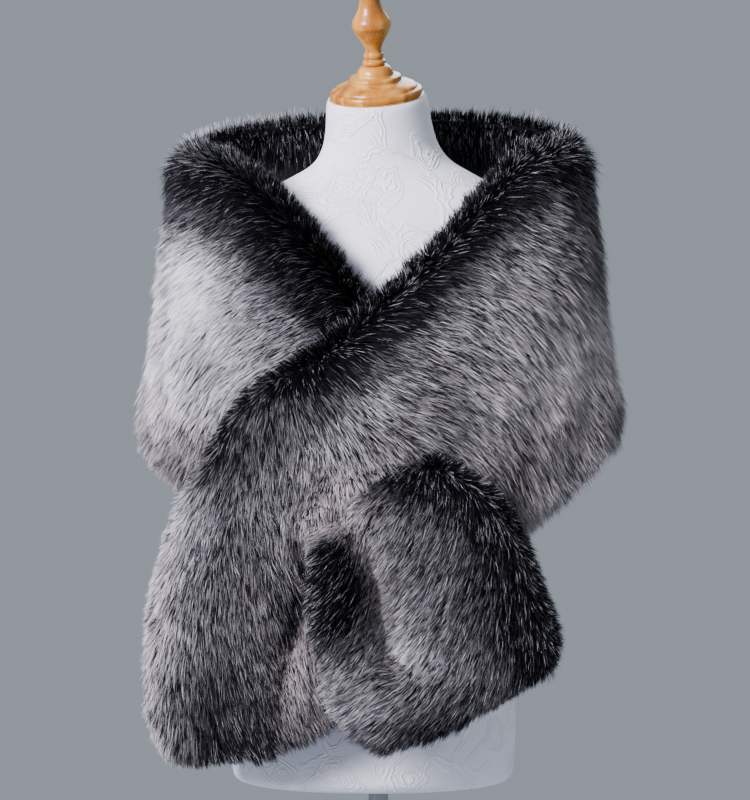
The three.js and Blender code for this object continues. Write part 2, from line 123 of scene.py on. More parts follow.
def dress(piece, finish, slot, *nodes):
    """Gives a piece its finish, and lets it ride and stand for its nodes. The slot is not used."""
    piece.data.materials.append(finish)
    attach(piece, "root")
    if nodes:
        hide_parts(*nodes)
    return piece


# %% [markdown]
# The pole, the base, the neck's parts and the torso are all rings of points one above another,
# so one helper closes them: a fan of triangles joins the first ring to a point at one end, and
# the last ring to a point at the other. One large face would close an end too, but a fan stays
# the same whatever the ring's shape.

# %% Close a stack of rings


def closed_rings(skin, rings, sides, ends):
    """Points and triangles of a closed body from a skin of rings and the points at its ends."""
    k = np.arange(sides)
    following = (k + 1) % sides
    first, last, top = len(skin), len(skin) + 1, (rings - 1) * sides
    triangles = [
        grid_triangles(rings, sides, around=True),
        np.stack([np.full(sides, first), following, k], 1),
        np.stack([np.full(sides, last), top + k, top + following], 1),
    ]
    return np.concatenate([skin, ends]), np.concatenate(triangles)


print("a box of two rings has", len(closed_rings(np.zeros((8, 3)), 2, 4, np.zeros((2, 3)))[1]), "triangles")

# %% [markdown]
# The tables hold a few driving values at chosen places. Straight lines between them would show
# as flat facets, so a smooth cubic curve runs through them: between two rows it starts and ends
# with the slope of the line that joins the neighbours, and a coarse table still gives a soft
# surface.

# %% Smooth curves through a table


def smooth_rows(table, place):
    """Each column of a table at fractional row numbers, on a cubic through the rows whose slope
    at a row is half the difference of the rows before and after it."""
    table = np.asarray(table, dtype=float)
    last = len(table) - 1
    index = np.clip(np.floor(place).astype(int), 0, last - 1)
    share = (place - index)[..., None]
    before, start, end, after = (
        table[np.clip(index + offset, 0, last)] for offset in (-1, 0, 1, 2)
    )
    slope_start = (end - before) / 2
    slope_end = (after - start) / 2
    square = share**2
    cube = square * share
    return (
        (2 * cube - 3 * square + 1) * start
        + (cube - 2 * square + share) * slope_start
        + (3 * square - 2 * cube) * end
        + (cube - square) * slope_end
    )


def smoothstep(value, low, high):
    """0 below low, 1 above high, and 3t^2 - 2t^3 between them."""
    t = np.clip((value - low) / (high - low), 0, 1)
    return t * t * (3 - 2 * t)


print("a quarter of the way up, smoothstep gives", smoothstep(0.25, 0, 1))


# %% [markdown]
# A finish is a small node tree. It could be joined by hand in the shader editor, but a recipe in
# code can be read and repeated. The helper starts one from an empty Principled shader and adds
# nodes by their type, with their settings and links in one call. A value that is the same all
# over is set on the shader's own socket.

# %% Start a finish


class Finish:
    """A material whose nodes are added one by one and linked as they are made."""

    def __init__(self, name, **values):
        self.material = bpy.data.materials.new(name)
        self.material.use_nodes = True
        self.tree = self.material.node_tree
        self.shader = self.tree.nodes["Principled BSDF"]
        for socket, value in values.items():
            self.shader.inputs[socket.replace("_", " ")].default_value = value

    def add(self, kind, settings=None, **inputs):
        """A node of a kind. An input that is another node's socket is linked, and any other
        input is set as a value."""
        node = self.tree.nodes.new(kind)
        for setting, value in (settings or {}).items():
            setattr(node, setting, value)
        for socket, value in inputs.items():
            target = node.inputs[int(socket[1:])] if socket[1:].isdigit() else node.inputs[socket]
            if isinstance(value, bpy.types.NodeSocket):
                self.tree.links.new(value, target)
            else:
                target.default_value = value
        return node

    def ramp(self, value, *stops):
        """A colour ramp over a value, from (place, colour or grey) stops."""
        node = self.add("ShaderNodeValToRGB", Fac=value)
        elements = node.color_ramp.elements
        while len(elements) < len(stops):
            elements.new(0.5)
        for element, (place, colour) in zip(elements, stops):
            element.position = place
        for element, (place, colour) in zip(elements, stops):
            grey = isinstance(colour, (int, float))
            element.color = (colour,) * 3 + (1,) if grey else (*colour, 1)
        return node.outputs["Color"]

    def feed(self, **sockets):
        """Links sockets of the shader."""
        for socket, value in sockets.items():
            self.tree.links.new(value, self.shader.inputs[socket.replace("_", " ")])

    def place(self):
        """The Object coordinates, which are metres on the piece itself."""
        return self.add("ShaderNodeTexCoord").outputs["Object"]

    def say(self):
        print(f"finish {self.material.name}: {len(self.tree.nodes)} nodes")


# %% [markdown]
# The form is covered in white cloth with a raised pattern of roses, leaves and loose ribbons. The
# pattern is only about half a millimetre high, so it stays in the material as bump. Petals are
# rings round the centres of a cell texture, leaves are short bands in some of its smaller
# cells, and ribbons are double lines beside the edges of its largest cells. All three are bent
# by noise, so that no line is regular. A fine knit lies below them.

# %% Start the form's cloth
form_cloth = Finish("form_cloth", Roughness=0.62, Sheen_Weight=0.25, Sheen_Roughness=0.5)
form_cloth.shader.inputs["Specular IOR Level"].default_value = 0.35
where = form_cloth.place()


def bent_by(finish, place, scale, reach):
    """The place moved by a colour noise, at most half the reach each way."""
    noise = finish.add("ShaderNodeTexNoise", Vector=place, Scale=scale, Detail=1.0)
    centred = finish.add(
        "ShaderNodeVectorMath", {"operation": "SUBTRACT"}, _0=noise.outputs["Color"], _1=(0.5, 0.5, 0.5)
    )
    scaled = finish.add("ShaderNodeVectorMath", {"operation": "SCALE"}, _0=centred.outputs[0], Scale=reach)
    return finish.add("ShaderNodeVectorMath", {"operation": "ADD"}, _0=place, _1=scaled.outputs[0]).outputs[0]


def times(finish, a, b, operation="MULTIPLY"):
    """The product of two values, or another operation on them."""
    return finish.add("ShaderNodeMath", {"operation": operation}, _0=a, _1=b).outputs[0]


# %% Roses, leaves and ribbons
bent = bent_by(form_cloth, bent_by(form_cloth, where, 16.0, 0.045), 48.0, 0.016)
roses = form_cloth.add("ShaderNodeTexVoronoi", Vector=bent, Scale=22.0, Randomness=0.8)
rings = times(form_cloth, times(form_cloth, roses.outputs["Distance"], 62.0), 0.0, "SINE")
near_rose = form_cloth.ramp(roses.outputs["Distance"], (0.4, 1.0), (0.48, 0.0))
petals = times(form_cloth, near_rose, form_cloth.ramp(rings, (0.1, 0.0), (0.8, 1.0)))
leaves = form_cloth.add("ShaderNodeTexVoronoi", Vector=bent, Scale=27.0, Randomness=1.0)
leaf_chosen = form_cloth.ramp(leaves.outputs["Color"], (0.46, 0.0), (0.5, 1.0))
near_leaf = form_cloth.ramp(leaves.outputs["Distance"], (0.3, 1.0), (0.4, 0.0))
veins = form_cloth.add(
    "ShaderNodeTexWave", {"bands_direction": "DIAGONAL"}, Vector=bent, Scale=58.0, Distortion=1.5
)
hatching = times(form_cloth, times(form_cloth, near_leaf, leaf_chosen), veins.outputs["Fac"])
cells = form_cloth.add(
    "ShaderNodeTexVoronoi", {"feature": "DISTANCE_TO_EDGE"}, Vector=bent, Scale=13.0, Randomness=1.0
)
ribbons = form_cloth.ramp(
    cells.outputs["Distance"], (0.0, 0.35), (0.01, 0.35), (0.022, 1.0), (0.03, 1.0), (0.045, 0.0)
)
flowers = times(form_cloth, petals, hatching, "MAXIMUM")
raised = times(form_cloth, flowers, ribbons, "MAXIMUM")

# %% The knit, and the form's cloth put together
knit = form_cloth.add("ShaderNodeTexNoise", Vector=where, Scale=1400.0, Detail=2.0)
knit_bump = form_cloth.add(
    "ShaderNodeBump", Strength=0.12, Distance=0.0004, Height=knit.outputs["Fac"]
)
pattern_bump = form_cloth.add(
    "ShaderNodeBump", Strength=0.8, Distance=0.0011, Height=raised, Normal=knit_bump.outputs["Normal"]
)
# painted highlight: the raised pattern is coloured a little lighter than the cloth between it
form_cloth.feed(
    Base_Color=form_cloth.ramp(raised, (0.0, (0.88, 0.88, 0.97)), (1.0, (0.95, 0.95, 1.0))),
    Normal=pattern_bump.outputs["Normal"],
)
form_cloth.say()

# %% [markdown]
# The torso is a stack of level rings, each half an ellipse in front and half a deeper or flatter
# one behind. Toward the neck the rings tilt, until the topmost lies in the slanted plane that
# the wooden cap sits on. Below, the skin turns in under the hip and up into the bore that
# takes the pole, so the body is closed. The form could be sculpted, but its girths and heights
# are what is known of it, so they are what is written down.

# %% The torso
NECK_TOP = np.array([-2.0, 0.0, 933.0])
NECK_TILT_FORWARD = math.radians(15)
NECK_LEAN_SIDEWAYS = math.radians(-4)
POLE_RADIUS = 11.0
SEAM_GAP = 0.3
BORE_DEPTH = 120.0
TORSO_BOTTOM = 178.0

# height, half width, depth in front, depth behind, centre, tilt
TORSO = [
    (178, 139, 88, 96, -6, 0),
    (182, 149, 94, 103, -6, 0),
    (194, 155, 99, 108, -6, 0),
    (240, 157, 100, 112, -5.5, 0),
    (300, 152, 98, 112, -4.5, 0),
    (370, 132, 88, 96, -3.5, 0),
    (440, 118, 82, 80, -2.5, 0),
    (510, 121, 90, 78, -1.5, 0),
    (580, 132, 112, 86, -0.5, 0),
    (640, 145, 126, 95, 0.5, 0),
    (700, 160, 114, 101, 1.5, 0),
    (750, 178, 98, 100, 2.5, 0),
    (785, 196, 84, 92, 3, 0),
    (803, 202, 75, 85, 3, 0),
    (817, 188, 66, 78, 3.5, 0),
    (828, 152, 57, 72, 4.5, 0.05),
    (837, 120, 52, 67, 5.5, 0.1),
    (848, 97, 49, 63, 5.5, 0.2),
    (861, 76, 48, 60, 4, 0.35),
    (878, 64, 48, 58, 2, 0.55),
    (899, 58.5, 50, 57, 0.5, 0.8),
    (926, 55.5, 53, 56, -1.5, 1),
    (933, 53, 51, 54, -2, 1),
]


def ring_body(name, rings, sides):
    """A closed body: point k of a ring is at angle a = 2 pi k / sides, with x = centre + half
    sin a and y = -depth cos a, where the depth is the front one if cos a > 0. A ring's height
    changes with x and y as far as its tilt says. A point at each end closes the body."""
    angle = 2 * np.pi * np.arange(sides) / sides
    z, half, front, back, centre, tilt = (column[:, None] for column in rings.T)
    x = half * np.sin(angle)
    y = -np.where(np.cos(angle) > 0, front, back) * np.cos(angle)
    slant = y * math.tan(NECK_TILT_FORWARD) - x * math.tan(NECK_LEAN_SIDEWAYS)
    skin = np.stack([centre + x, y, z + tilt * slant], -1).reshape(-1, 3)
    ends = np.array([[rings[k, 4], 0, rings[k, 0]] for k in (0, -1)])
    points, triangles = closed_rings(skin, len(rings), sides, ends)
    return make_mesh(name, points * MM, triangles)


steps = np.linspace(0, len(TORSO) - 1, (len(TORSO) - 1) * 6 + 1)
outside = smooth_rows(TORSO, steps)
bore = POLE_RADIUS + SEAM_GAP
bore_rings = [
    (TORSO_BOTTOM + BORE_DEPTH, bore, bore, bore, 0, 0),
    (TORSO_BOTTOM, bore, bore, bore, 0, 0),
    (TORSO_BOTTOM, 90, 60, 66, -4, 0),
]
torso = ring_body("dress_form", np.concatenate([bore_rings, outside]), sides=128)
torso.data.set_sharp_from_angle(angle=math.radians(50))
dress(torso, form_cloth.material, "form_fabric", "form_torso")

# %% [markdown]
# The neck's cap and its finial are turned from light wood and varnished. Wood shows long, soft
# streaks that run up through the piece, so one noise is stretched along Z for the grain and a
# finer one for the pores. The noise fills the whole block, as grain does, so it has no seam
# round the piece. The varnish is a clear coat: sharp, bright lights over a warm colour.

# %% Varnished wood
wood = Finish("varnished_wood", Roughness=0.36, Coat_Weight=0.4, Coat_Roughness=0.1)
wood.shader.inputs["Specular IOR Level"].default_value = 0.25
wood_place = wood.place()
grain_place = wood.add("ShaderNodeMapping", Vector=wood_place, Scale=(42.0, 42.0, 7.0))
grain = wood.add(
    "ShaderNodeTexNoise", Vector=grain_place.outputs[0], Scale=1.4, Detail=5.0, Distortion=0.5
)
pore_place = wood.add("ShaderNodeMapping", Vector=wood_place, Scale=(900.0, 900.0, 60.0))
pores = wood.add("ShaderNodeTexNoise", Vector=pore_place.outputs[0], Scale=1.0, Detail=2.0)
pore_dark = wood.ramp(pores.outputs["Fac"], (0.3, 0.72), (0.5, 1.0))
wood_colour = wood.ramp(
    grain.outputs["Fac"],
    (0.3, (0.262, 0.077, 0.008)),
    (0.46, (0.436, 0.162, 0.02)),
    (0.56, (0.582, 0.243, 0.036)),
    (0.7, (0.718, 0.342, 0.064)),
)
wood_mixed = wood.add(
    "ShaderNodeMix", {"data_type": "RGBA", "blend_type": "MULTIPLY"}, _0=0.5, _6=wood_colour, _7=pore_dark
)
wood_bump = wood.add("ShaderNodeBump", Strength=0.08, Distance=0.0003, Height=grain.outputs["Fac"])
wood.feed(Base_Color=wood_mixed.outputs[2], Normal=wood_bump.outputs["Normal"])
wood.say()

# %% [markdown]
# A lathe makes pieces that are round about one axis, so their shape is a single profile, radius
# against height. The Screw modifier could carry it round, but a formula also smooths the few
# points of the profile and sets the finished piece down on the neck's slanted top.

# %% Profiles of the cap and the finial
CAP_HEIGHT = 35.0
# distance from the axis, height
CAP = [
    (0, 0), (47.5, 0), (50.2, 1), (51, 4), (50.2, 7), (48, 8.5), (46, 8.8), (45, 10.5), (43, 12.5),
    (37, 15), (29.5, 17), (28.5, 18.5), (28.5, 21.5), (27, 23), (21, 24), (19.8, 27), (18, 31),
    (13, 35), (0, 35),
]
FINIAL = [
    (0, 0), (10, 0), (12.4, 1.5), (12.6, 4.5), (10.5, 6), (10, 7.5), (10.8, 9), (10.8, 12),
    (9.4, 14), (9, 17), (10.5, 22), (14.5, 29), (18.5, 36), (21.2, 42), (21.4, 44), (20.8, 49),
    (18, 54), (14.5, 60), (12.2, 66), (11, 73), (11.5, 79), (11.2, 84), (8.5, 88.5), (4, 91),
    (0, 91.5),
]

# %% Turn a profile


def turned(name, profile, sides, steps=1, place=None):
    """A profile carried round the Z axis: x = r sin a, y = -r cos a. Points on the axis are one
    point each. Place moves the finished points."""
    profile = smooth_rows(profile, np.linspace(0, len(profile) - 1, (len(profile) - 1) * steps + 1))
    radius, z = profile[1:-1].T
    angle = 2 * np.pi * np.arange(sides) / sides
    skin = np.stack(
        [
            radius[:, None] * np.sin(angle),
            -radius[:, None] * np.cos(angle),
            np.repeat(z[:, None], sides, 1),
        ],
        -1,
    ).reshape(-1, 3)
    ends = np.array([[0, 0, profile[0, 1]], [0, 0, profile[-1, 1]]])
    points, triangles = closed_rings(skin, len(radius), sides, ends)
    if place:
        points = place(points)
    piece = make_mesh(name, points * MM, triangles)
    piece.data.set_sharp_from_angle(angle=math.radians(40))
    return piece


def onto_neck(points):
    """Turns points about Y and then about X, and moves them to the neck's slanted top."""
    lean, tilt = NECK_LEAN_SIDEWAYS, NECK_TILT_FORWARD
    x, y, z = points.T
    x, z = x * math.cos(lean) + z * math.sin(lean), z * math.cos(lean) - x * math.sin(lean)
    y, z = y * math.cos(tilt) - z * math.sin(tilt), y * math.sin(tilt) + z * math.cos(tilt)
    return np.stack([x, y, z], 1) + NECK_TOP


# %% The cap and the finial
cap = turned("neck_cap_turned", CAP, 96, 3, lambda p: onto_neck(p + (0, 0, SEAM_GAP)))
dress(cap, wood.material, "wood", "neck_cap")
finial_foot = CAP_HEIGHT + 2 * SEAM_GAP
finial = turned("finial_turned", FINIAL, 72, 3, lambda p: onto_neck(p + (0, 0, finial_foot)))
dress(finial, wood.material, "wood", "finial")

# %% [markdown]
# The pole is a polished steel tube and the base a brushed steel disc with a collar. Polished
# steel is almost a mirror, with faint smears in its roughness. Brushing leaves fine rings round
# the disc, far too fine to model, so its bump is a wave texture in rings about Z.

# %% Steel
tube_steel = Finish("polished_steel", Metallic=1.0, Base_Color=(0.42, 0.43, 0.45, 1))
smears = tube_steel.add(
    "ShaderNodeTexNoise", Vector=tube_steel.place(), Scale=34.0, Detail=4.0, Roughness=0.6
)
tube_steel.feed(Roughness=tube_steel.ramp(smears.outputs["Fac"], (0.3, 0.14), (0.7, 0.27)))

disc_steel = Finish("brushed_steel", Metallic=1.0)
disc_place = disc_steel.place()
brushing = disc_steel.add(
    "ShaderNodeTexWave",
    {"wave_type": "RINGS", "rings_direction": "Z"},
    Vector=disc_place,
    Scale=260.0,
    Distortion=1.5,
    Detail=2.0,
)
cloudy = disc_steel.add("ShaderNodeTexNoise", Vector=disc_place, Scale=20.0, Detail=4.0)
disc_bump = disc_steel.add(
    "ShaderNodeBump", Strength=0.1, Distance=0.0002, Height=brushing.outputs["Fac"]
)
disc_steel.feed(
    Base_Color=disc_steel.ramp(cloudy.outputs["Fac"], (0.3, (0.40, 0.41, 0.43)), (0.7, (0.5, 0.51, 0.53))),
    Roughness=disc_steel.ramp(cloudy.outputs["Fac"], (0.3, 0.3), (0.7, 0.4)),
    Normal=disc_bump.outputs["Normal"],
)
tube_steel.say()
disc_steel.say()

# %% [markdown]
# The pole is a tube with eased ends and the base a disc with a soft upper edge and a boss, as
# spun steel bases have. Both are round, so they are turned from profiles as the wood is, with
# their corners kept by short steps, and nothing has to be bevelled.

# %% The stand
BASE_RADIUS = 145.0
BASE_THICK = 14.0
BOSS_RADIUS = 20.0
BOSS_TOP = 40.0
BASE_FLOOR = 6.0
pole_bottom = BASE_FLOOR + SEAM_GAP
pole_top = TORSO_BOTTOM + BORE_DEPTH - SEAM_GAP
POLE = [
    (0, pole_bottom), (POLE_RADIUS - 1, pole_bottom), (POLE_RADIUS, pole_bottom + 1),
    (POLE_RADIUS, TORSO_BOTTOM / 2), (POLE_RADIUS, TORSO_BOTTOM),
    (POLE_RADIUS, pole_top - 1), (POLE_RADIUS - 1, pole_top), (0, pole_top),
]
BASE = [
    (0, 0), (BASE_RADIUS - 2, 0), (BASE_RADIUS - 0.6, 0.6), (BASE_RADIUS, 2),
    (BASE_RADIUS, BASE_THICK - 6), (BASE_RADIUS - 1.6, BASE_THICK - 3.4),
    (BASE_RADIUS - 6, BASE_THICK - 1.5), (BASE_RADIUS - 20, BASE_THICK),
    (BOSS_RADIUS + 6, BASE_THICK + 3), (BOSS_RADIUS + 1.6, BASE_THICK + 4.8),
    (BOSS_RADIUS, BASE_THICK + 8), (BOSS_RADIUS, BOSS_TOP - 2), (BOSS_RADIUS - 0.6, BOSS_TOP - 0.6),
    (BOSS_RADIUS - 2, BOSS_TOP), (bore, BOSS_TOP), (bore, BASE_FLOOR), (0, BASE_FLOOR),
]
pole = turned("pole_tube", POLE, 64)
dress(pole, tube_steel.material, "steel", "pole")
base = turned("base_plate", BASE, 128)
dress(base, disc_steel.material, "base_steel", "base_disc")

# %% [markdown]
# The stole hangs on a body that the cloth's own shape gives: an oval column, narrow at the
# shoulders and wide at the hem. A place on it is an angle round the column and a height, and a
# lift says how far a point stands off it. Each stretch of the stole is a strip on this body. A
# cloth simulation could drape the stole too, but it would not keep the folds and edges where
# the real one has them, so its shape is given.

# %% The body that the stole is draped round
DRAPE_CENTRE = 3.0
# height, half width, depth in front, depth behind
DRAPE = np.array(
    [
        (180, 330, 108, 120),
        (240, 322, 114, 128),
        (300, 308, 120, 134),
        (400, 276, 128, 140),
        (480, 250, 132, 142),
        (560, 231, 134, 140),
        (600, 226, 134, 138),
        (655, 216, 131, 134),
        (710, 209, 120, 128),
        (765, 204, 102, 120),
        (800, 199, 84, 114),
        (841, 196, 64, 106),
        (880, 188, 52, 98),
        (920, 172, 42, 86),
    ],
    dtype=float,
)


def drape_point(around, z, lift):
    """The point at an angle from the centre front, a height and a lift:
    x = centre + (half + lift) sin a and y = -(depth + lift) cos a."""
    place = np.interp(z, DRAPE[:, 0], np.arange(len(DRAPE)))
    half, front, back = np.moveaxis(smooth_rows(DRAPE[:, 1:], place), -1, 0)
    angle = np.radians(around)
    depth = np.where(np.cos(angle) > 0, front, back)
    x = DRAPE_CENTRE + (half + lift) * np.sin(angle)
    y = -(depth + lift) * np.cos(angle)
    return np.stack([x, y, z + 0 * lift], -1)


print("the body's front at a height of 600:", drape_point(np.array(0.0), np.array(600.0), 0.0).round(1))


# %% [markdown]
# Each row of a table below is a section across a stretch: the angle and height of its upper
# edge, its middle and its hem, how far its inner side stands off the body, and how deep the
# pile is. The rows run along the stretch. Deep fur hides every small crease of its backing, so
# three points across are enough. The large folds are soft ridges or troughs along straight
# lines, added on top.

# %% Sections of the back and the right front
# top angle, top height, middle angle, middle height, hem angle, hem height, base, thick
SIDE_SEAM = 0.17
BACK = [
    (angle, top, angle, (top + hem) / 2, angle, hem, 0, 40)
    for angle, top, hem in (
        (90 + SIDE_SEAM, 892, 566),
        (120, 910, 558),
        (150, 917, 548),
        (180, 917, 542),
        (210, 913, 546),
        (240, 900, 552),
        (270 - SIDE_SEAM, 882, 556),
    )
]
RIGHT_FRONT = [
    (-90, 882, -90, 719, -90, 556, 0, 40),
    (-72, 880, -83, 712, -84, 551, 0, 40),
    (-50, 869, -67, 701, -70, 534, 0, 40),
    (-37, 850, -53, 685, -58, 520, 0, 40),
    (-28, 822, -41, 664, -49, 507, 0, 38),
    (-19, 788, -31, 642, -43, 497, 0, 36),
    (-11, 753, -24, 620, -38, 489, 0, 34),
    (-3, 713, -18, 597, -34, 484, 0, 28),
    (3, 666, -13, 572, -30, 481, 0, 23),
    (7, 620, -10, 550, -26, 480, 0, 22),
    (8, 577, -8, 528, -22, 480, 0, 22),
]

# %% Sections of the left front and the pulled end
LEFT_FRONT = [
    (90, 892, 90, 729, 90, 566, 0, 40),
    (70, 890, 84, 713, 84, 560, 0, 40),
    (44, 871, 62, 700, 68, 541, 0, 40),
    (32, 838, 46, 675, 54, 515, 0, 38),
    (20, 794, 33, 643, 43, 490, 0, 38),
    (9, 755, 23, 613, 34, 468, 6, 37),
    (-2, 716, 14, 581, 27, 442, 14, 36),
    (-11, 683, 6, 552, 21, 418, 23, 36),
    (-20, 657, 0, 527, 16, 398, 24, 36),
    (-29, 632, -5, 506, 13, 380, 24, 36),
    (-37, 598, -10, 482, 10, 365, 24, 36),
    (-43, 553, -14, 453, 7, 350, 24, 36),
    (-48, 502, -18, 421, 4, 337, 24, 36),
    (-51, 445, -20, 387, 2, 325, 22, 37),
    (-51, 385, -22, 348, -1, 314, 20, 38),
    (-49, 325, -23, 305, -4, 303, 17, 38),
    (-46, 266, -23, 262, -6, 292, 14, 38),
    (-41, 220, -25, 225, -10, 279, 12, 36),
]
PULLED_END = [
    (8, 577, -8, 528, -22, 480, 0, 22),
    (10, 562, -5, 515, -18, 467, 22, 26),
    (13, 550, -2, 502, -14, 452, 48, 32),
    (17, 539, 1, 484, -12.5, 427, 60, 34),
    (24, 505, 5, 450, -12, 394, 61, 35),
    (28, 457, 7, 410, -11, 358, 61, 36),
    (30, 409, 8, 354, -9, 319, 60, 37),
    (31, 375, 11, 316, -7, 288, 59, 38),
    (30.5, 348, 13, 292, -4, 257, 57, 38),
    (27, 327, 15, 274, 2, 236, 54, 36),
]

# %% Folds
# from angle, from height, to angle, to height, height of the fold, reach
BACK_FOLDS = [(160, 760, 152, 600, -5, 24), (205, 740, 214, 590, -5, 24)]
RIGHT_FOLDS = [(-70, 700, -62, 560, -6, 22), (-45, 760, -60, 640, 5, 28)]
LEFT_FOLDS = [
    (-14.2, 446, -18.6, 345, -15, 16),
    (10, 590, -12, 480, 6, 26),
    (62, 640, 52, 530, -6, 20),
    (40, 700, 30, 560, 5, 30),
    (-40, 500, -36, 300, 5, 30),
    (-15.4, 450, -14.3, 494, 8, 9),
    (-10.9, 516, 2, 538, 8, 9),
]
PULLED_FOLDS = [
    (-2.4, 476, 2.4, 338, -21, 17),
    (-9, 450, -9, 380, 6, 14),
    (16, 480, 16, 330, 8, 30),
]
MM_PER_DEGREE = 3.4


def across(top, middle, hem, share):
    """The parabola through top at 0, middle at a half and hem at 1."""
    return (
        top * (1 - share) * (1 - 2 * share)
        + middle * 4 * share * (1 - share)
        + hem * share * (2 * share - 1)
    )


def fold_height(folds, around, z):
    """The sum of all folds, each a bell curve exp(-(d / reach)^2) of the distance d from its
    line."""
    total = np.zeros(np.shape(z))
    for a0, z0, a1, z1, height, reach in folds:
        x0, x1 = a0 * MM_PER_DEGREE, a1 * MM_PER_DEGREE
        dx, dz = x1 - x0, z1 - z0
        x, up = around * MM_PER_DEGREE - x0, z - z0
        along = np.clip((x * dx + up * dz) / (dx * dx + dz * dz), 0, 1)
        distance = np.hypot(x - along * dx, up - along * dz)
        total = total + height * np.exp(-((distance / reach) ** 2))
    return total


# %% A stretch of the stole
NO_END = 1e6


class Stretch:
    """A strip of the stole. Along runs from 0 to 1 through its rows, and share from 0 at the
    upper edge to 1 at the hem."""

    stations = np.linspace(0, 1, 241)

    def __init__(self, rows, folds, free_end=False, trim=0.0):
        self.rows = np.array(rows, dtype=float)
        self.folds = folds
        self.last = len(rows) - 1 - trim
        top, middle, hem = (
            self.at(self.stations, np.full(self.stations.shape, share))[0] for share in (0, 0.5, 1)
        )
        self.widths = np.linalg.norm(top - middle, axis=1) + np.linalg.norm(middle - hem, axis=1)
        steps = np.linalg.norm(np.diff(middle, axis=0), axis=1)
        gone = np.concatenate([[0], np.cumsum(steps)])
        self.length = gone[-1]
        self.to_end = self.length - gone if free_end else np.full(gone.shape, NO_END)

    def at(self, along, share):
        """The point on the body below a place, and its angle, height, base and depth of pile."""
        row = smooth_rows(self.rows, along * self.last)
        top_a, top_z, middle_a, middle_z, hem_a, hem_z, base, thick = np.moveaxis(row, -1, 0)
        around = across(top_a, middle_a, hem_a, share)
        z = across(top_z, middle_z, hem_z, share)
        return drape_point(around, z, base), around, z, base, thick

    def width(self, along):
        """The way from edge to edge over the middle."""
        return np.interp(along, self.stations, self.widths)

    def left(self, along):
        """The way that is left to the free end."""
        return np.interp(along, self.stations, self.to_end)


back = Stretch(BACK, BACK_FOLDS)
right_front = Stretch(RIGHT_FRONT, RIGHT_FOLDS, trim=0.1)
left_front = Stretch(LEFT_FRONT, LEFT_FOLDS, free_end=True)
pulled_end = Stretch(PULLED_END, PULLED_FOLDS, free_end=True)
for title, stretch in zip(
    ("back", "right front", "left front", "pulled end"), (back, right_front, left_front, pulled_end)
):
    print(f"{title}: {stretch.length:.0f} mm long, {stretch.widths.mean():.0f} mm wide")

# %% [markdown]
# Fur is seen as three things: a backing with short, dense underfur, long guard hairs that lie
# over it, and the dark gaps between their locks. The backing and underfur are a closed wall
# here, a little over half as deep as the pile and set in from its edges, so that the hairs
# alone make the outline. Its outer side is where the hairs grow. A thin sheet would need many
# times as many hairs before nothing showed through.

# %% The wall of backing and underfur
# millimetres from the edge to the wall and to its full depth
WALL_INSET = 9.0
WALL_RIM = 17.0
# the wall's outer side and its middle, as shares of the pile's depth
WALL_OUTER = 0.57
WALL_MIDDLE = 0.3
# millimetres that the inner side stays off the body, and a fold's depth that the inner side keeps
WALL_INNER = 4.0
DEEP_FOLD = 13.0


def rim(distance):
    """A quarter circle: 0 at the wall's edge, 1 from WALL_RIM inward."""
    inward = np.clip(distance / WALL_RIM, 0, 1)
    return np.sqrt(1 - (1 - inward) ** 2)


def wall_place(stretch, p, q):
    """Along and share for p and q from 0 to 1 over the wall, which is set in from the edges."""
    end = 1.0
    if stretch.to_end[-1] < WALL_INSET:
        end = np.interp(WALL_INSET, stretch.to_end[::-1], stretch.stations[::-1])
    along = p * end
    inset = WALL_INSET / stretch.width(along)
    return along, inset + (1 - 2 * inset) * q


def wall_point(stretch, p, q, side):
    """A point of the wall's outer side, 1, or inner side, -1, in millimetres. A fold moves the
    outer side, and the inner side too as far as the fold is deeper than DEEP_FOLD."""
    along, share = wall_place(stretch, p, q)
    _, around, z, base, thick = stretch.at(along, share)
    full = rim(np.minimum(share, 1 - share) * stretch.width(along) - WALL_INSET)
    full = full * rim(stretch.left(along) - WALL_INSET)
    middle = base + WALL_MIDDLE * thick
    fold = fold_height(stretch.folds, around, z)
    outer = (WALL_OUTER - WALL_MIDDLE) * thick + fold
    inner = WALL_MIDDLE * thick - WALL_INNER + np.maximum(-fold - DEEP_FOLD, 0)
    lift = middle + np.where(side > 0, outer, -inner) * full
    return drape_point(around, z, lift)


# %% Close a wall


def toward_edges(steps):
    """Numbers from 0 to 1 that crowd toward both ends: (1 - cos(pi t)) / 2."""
    return (1 - np.cos(np.pi * np.linspace(0, 1, steps + 1))) / 2


def wall_between(outer, inner, rounded_end):
    """A closed wall from two sheets of points over one grid. The sheets share their points
    along both long edges, and at a rounded end."""
    rows, columns = outer.shape[:2]
    near = np.arange(rows * columns).reshape(rows, columns)
    far = near + near.size
    far[:, 0] = near[:, 0]
    far[:, -1] = near[:, -1]
    if rounded_end:
        far[-1] = near[-1]
    squares = []
    for sheet, order in ((near, 1), (far, -1)):
        corners = (sheet[:-1, :-1], sheet[1:, :-1], sheet[1:, 1:], sheet[:-1, 1:])
        squares.append(np.stack([c.ravel() for c in corners[::order]], 1))
    for row, order in ((0, 1), (-1, -1)):
        corners = (near[row, :-1], near[row, 1:], far[row, 1:], far[row, :-1])
        squares.append(np.stack(corners[::order], 1))
    squares = np.concatenate(squares)
    triangles = np.concatenate([squares[:, [0, 1, 2]], squares[:, [0, 2, 3]]])
    points = np.concatenate([outer.reshape(-1, 3), inner.reshape(-1, 3)])
    return points, triangles


print("toward the edges in four steps:", toward_edges(4).round(2))


# %% [markdown]
# All fur shares one finish. What changes from hair to hair is its colour, and that is read from
# the hair's own map: across the map runs the tone, from hairs with a silver tip through black
# and the greys to a few pinkish greys, and up the map runs the way from root to tip. A map like
# this stays true when it is baked, because every hair of one tone shares one strip of it.

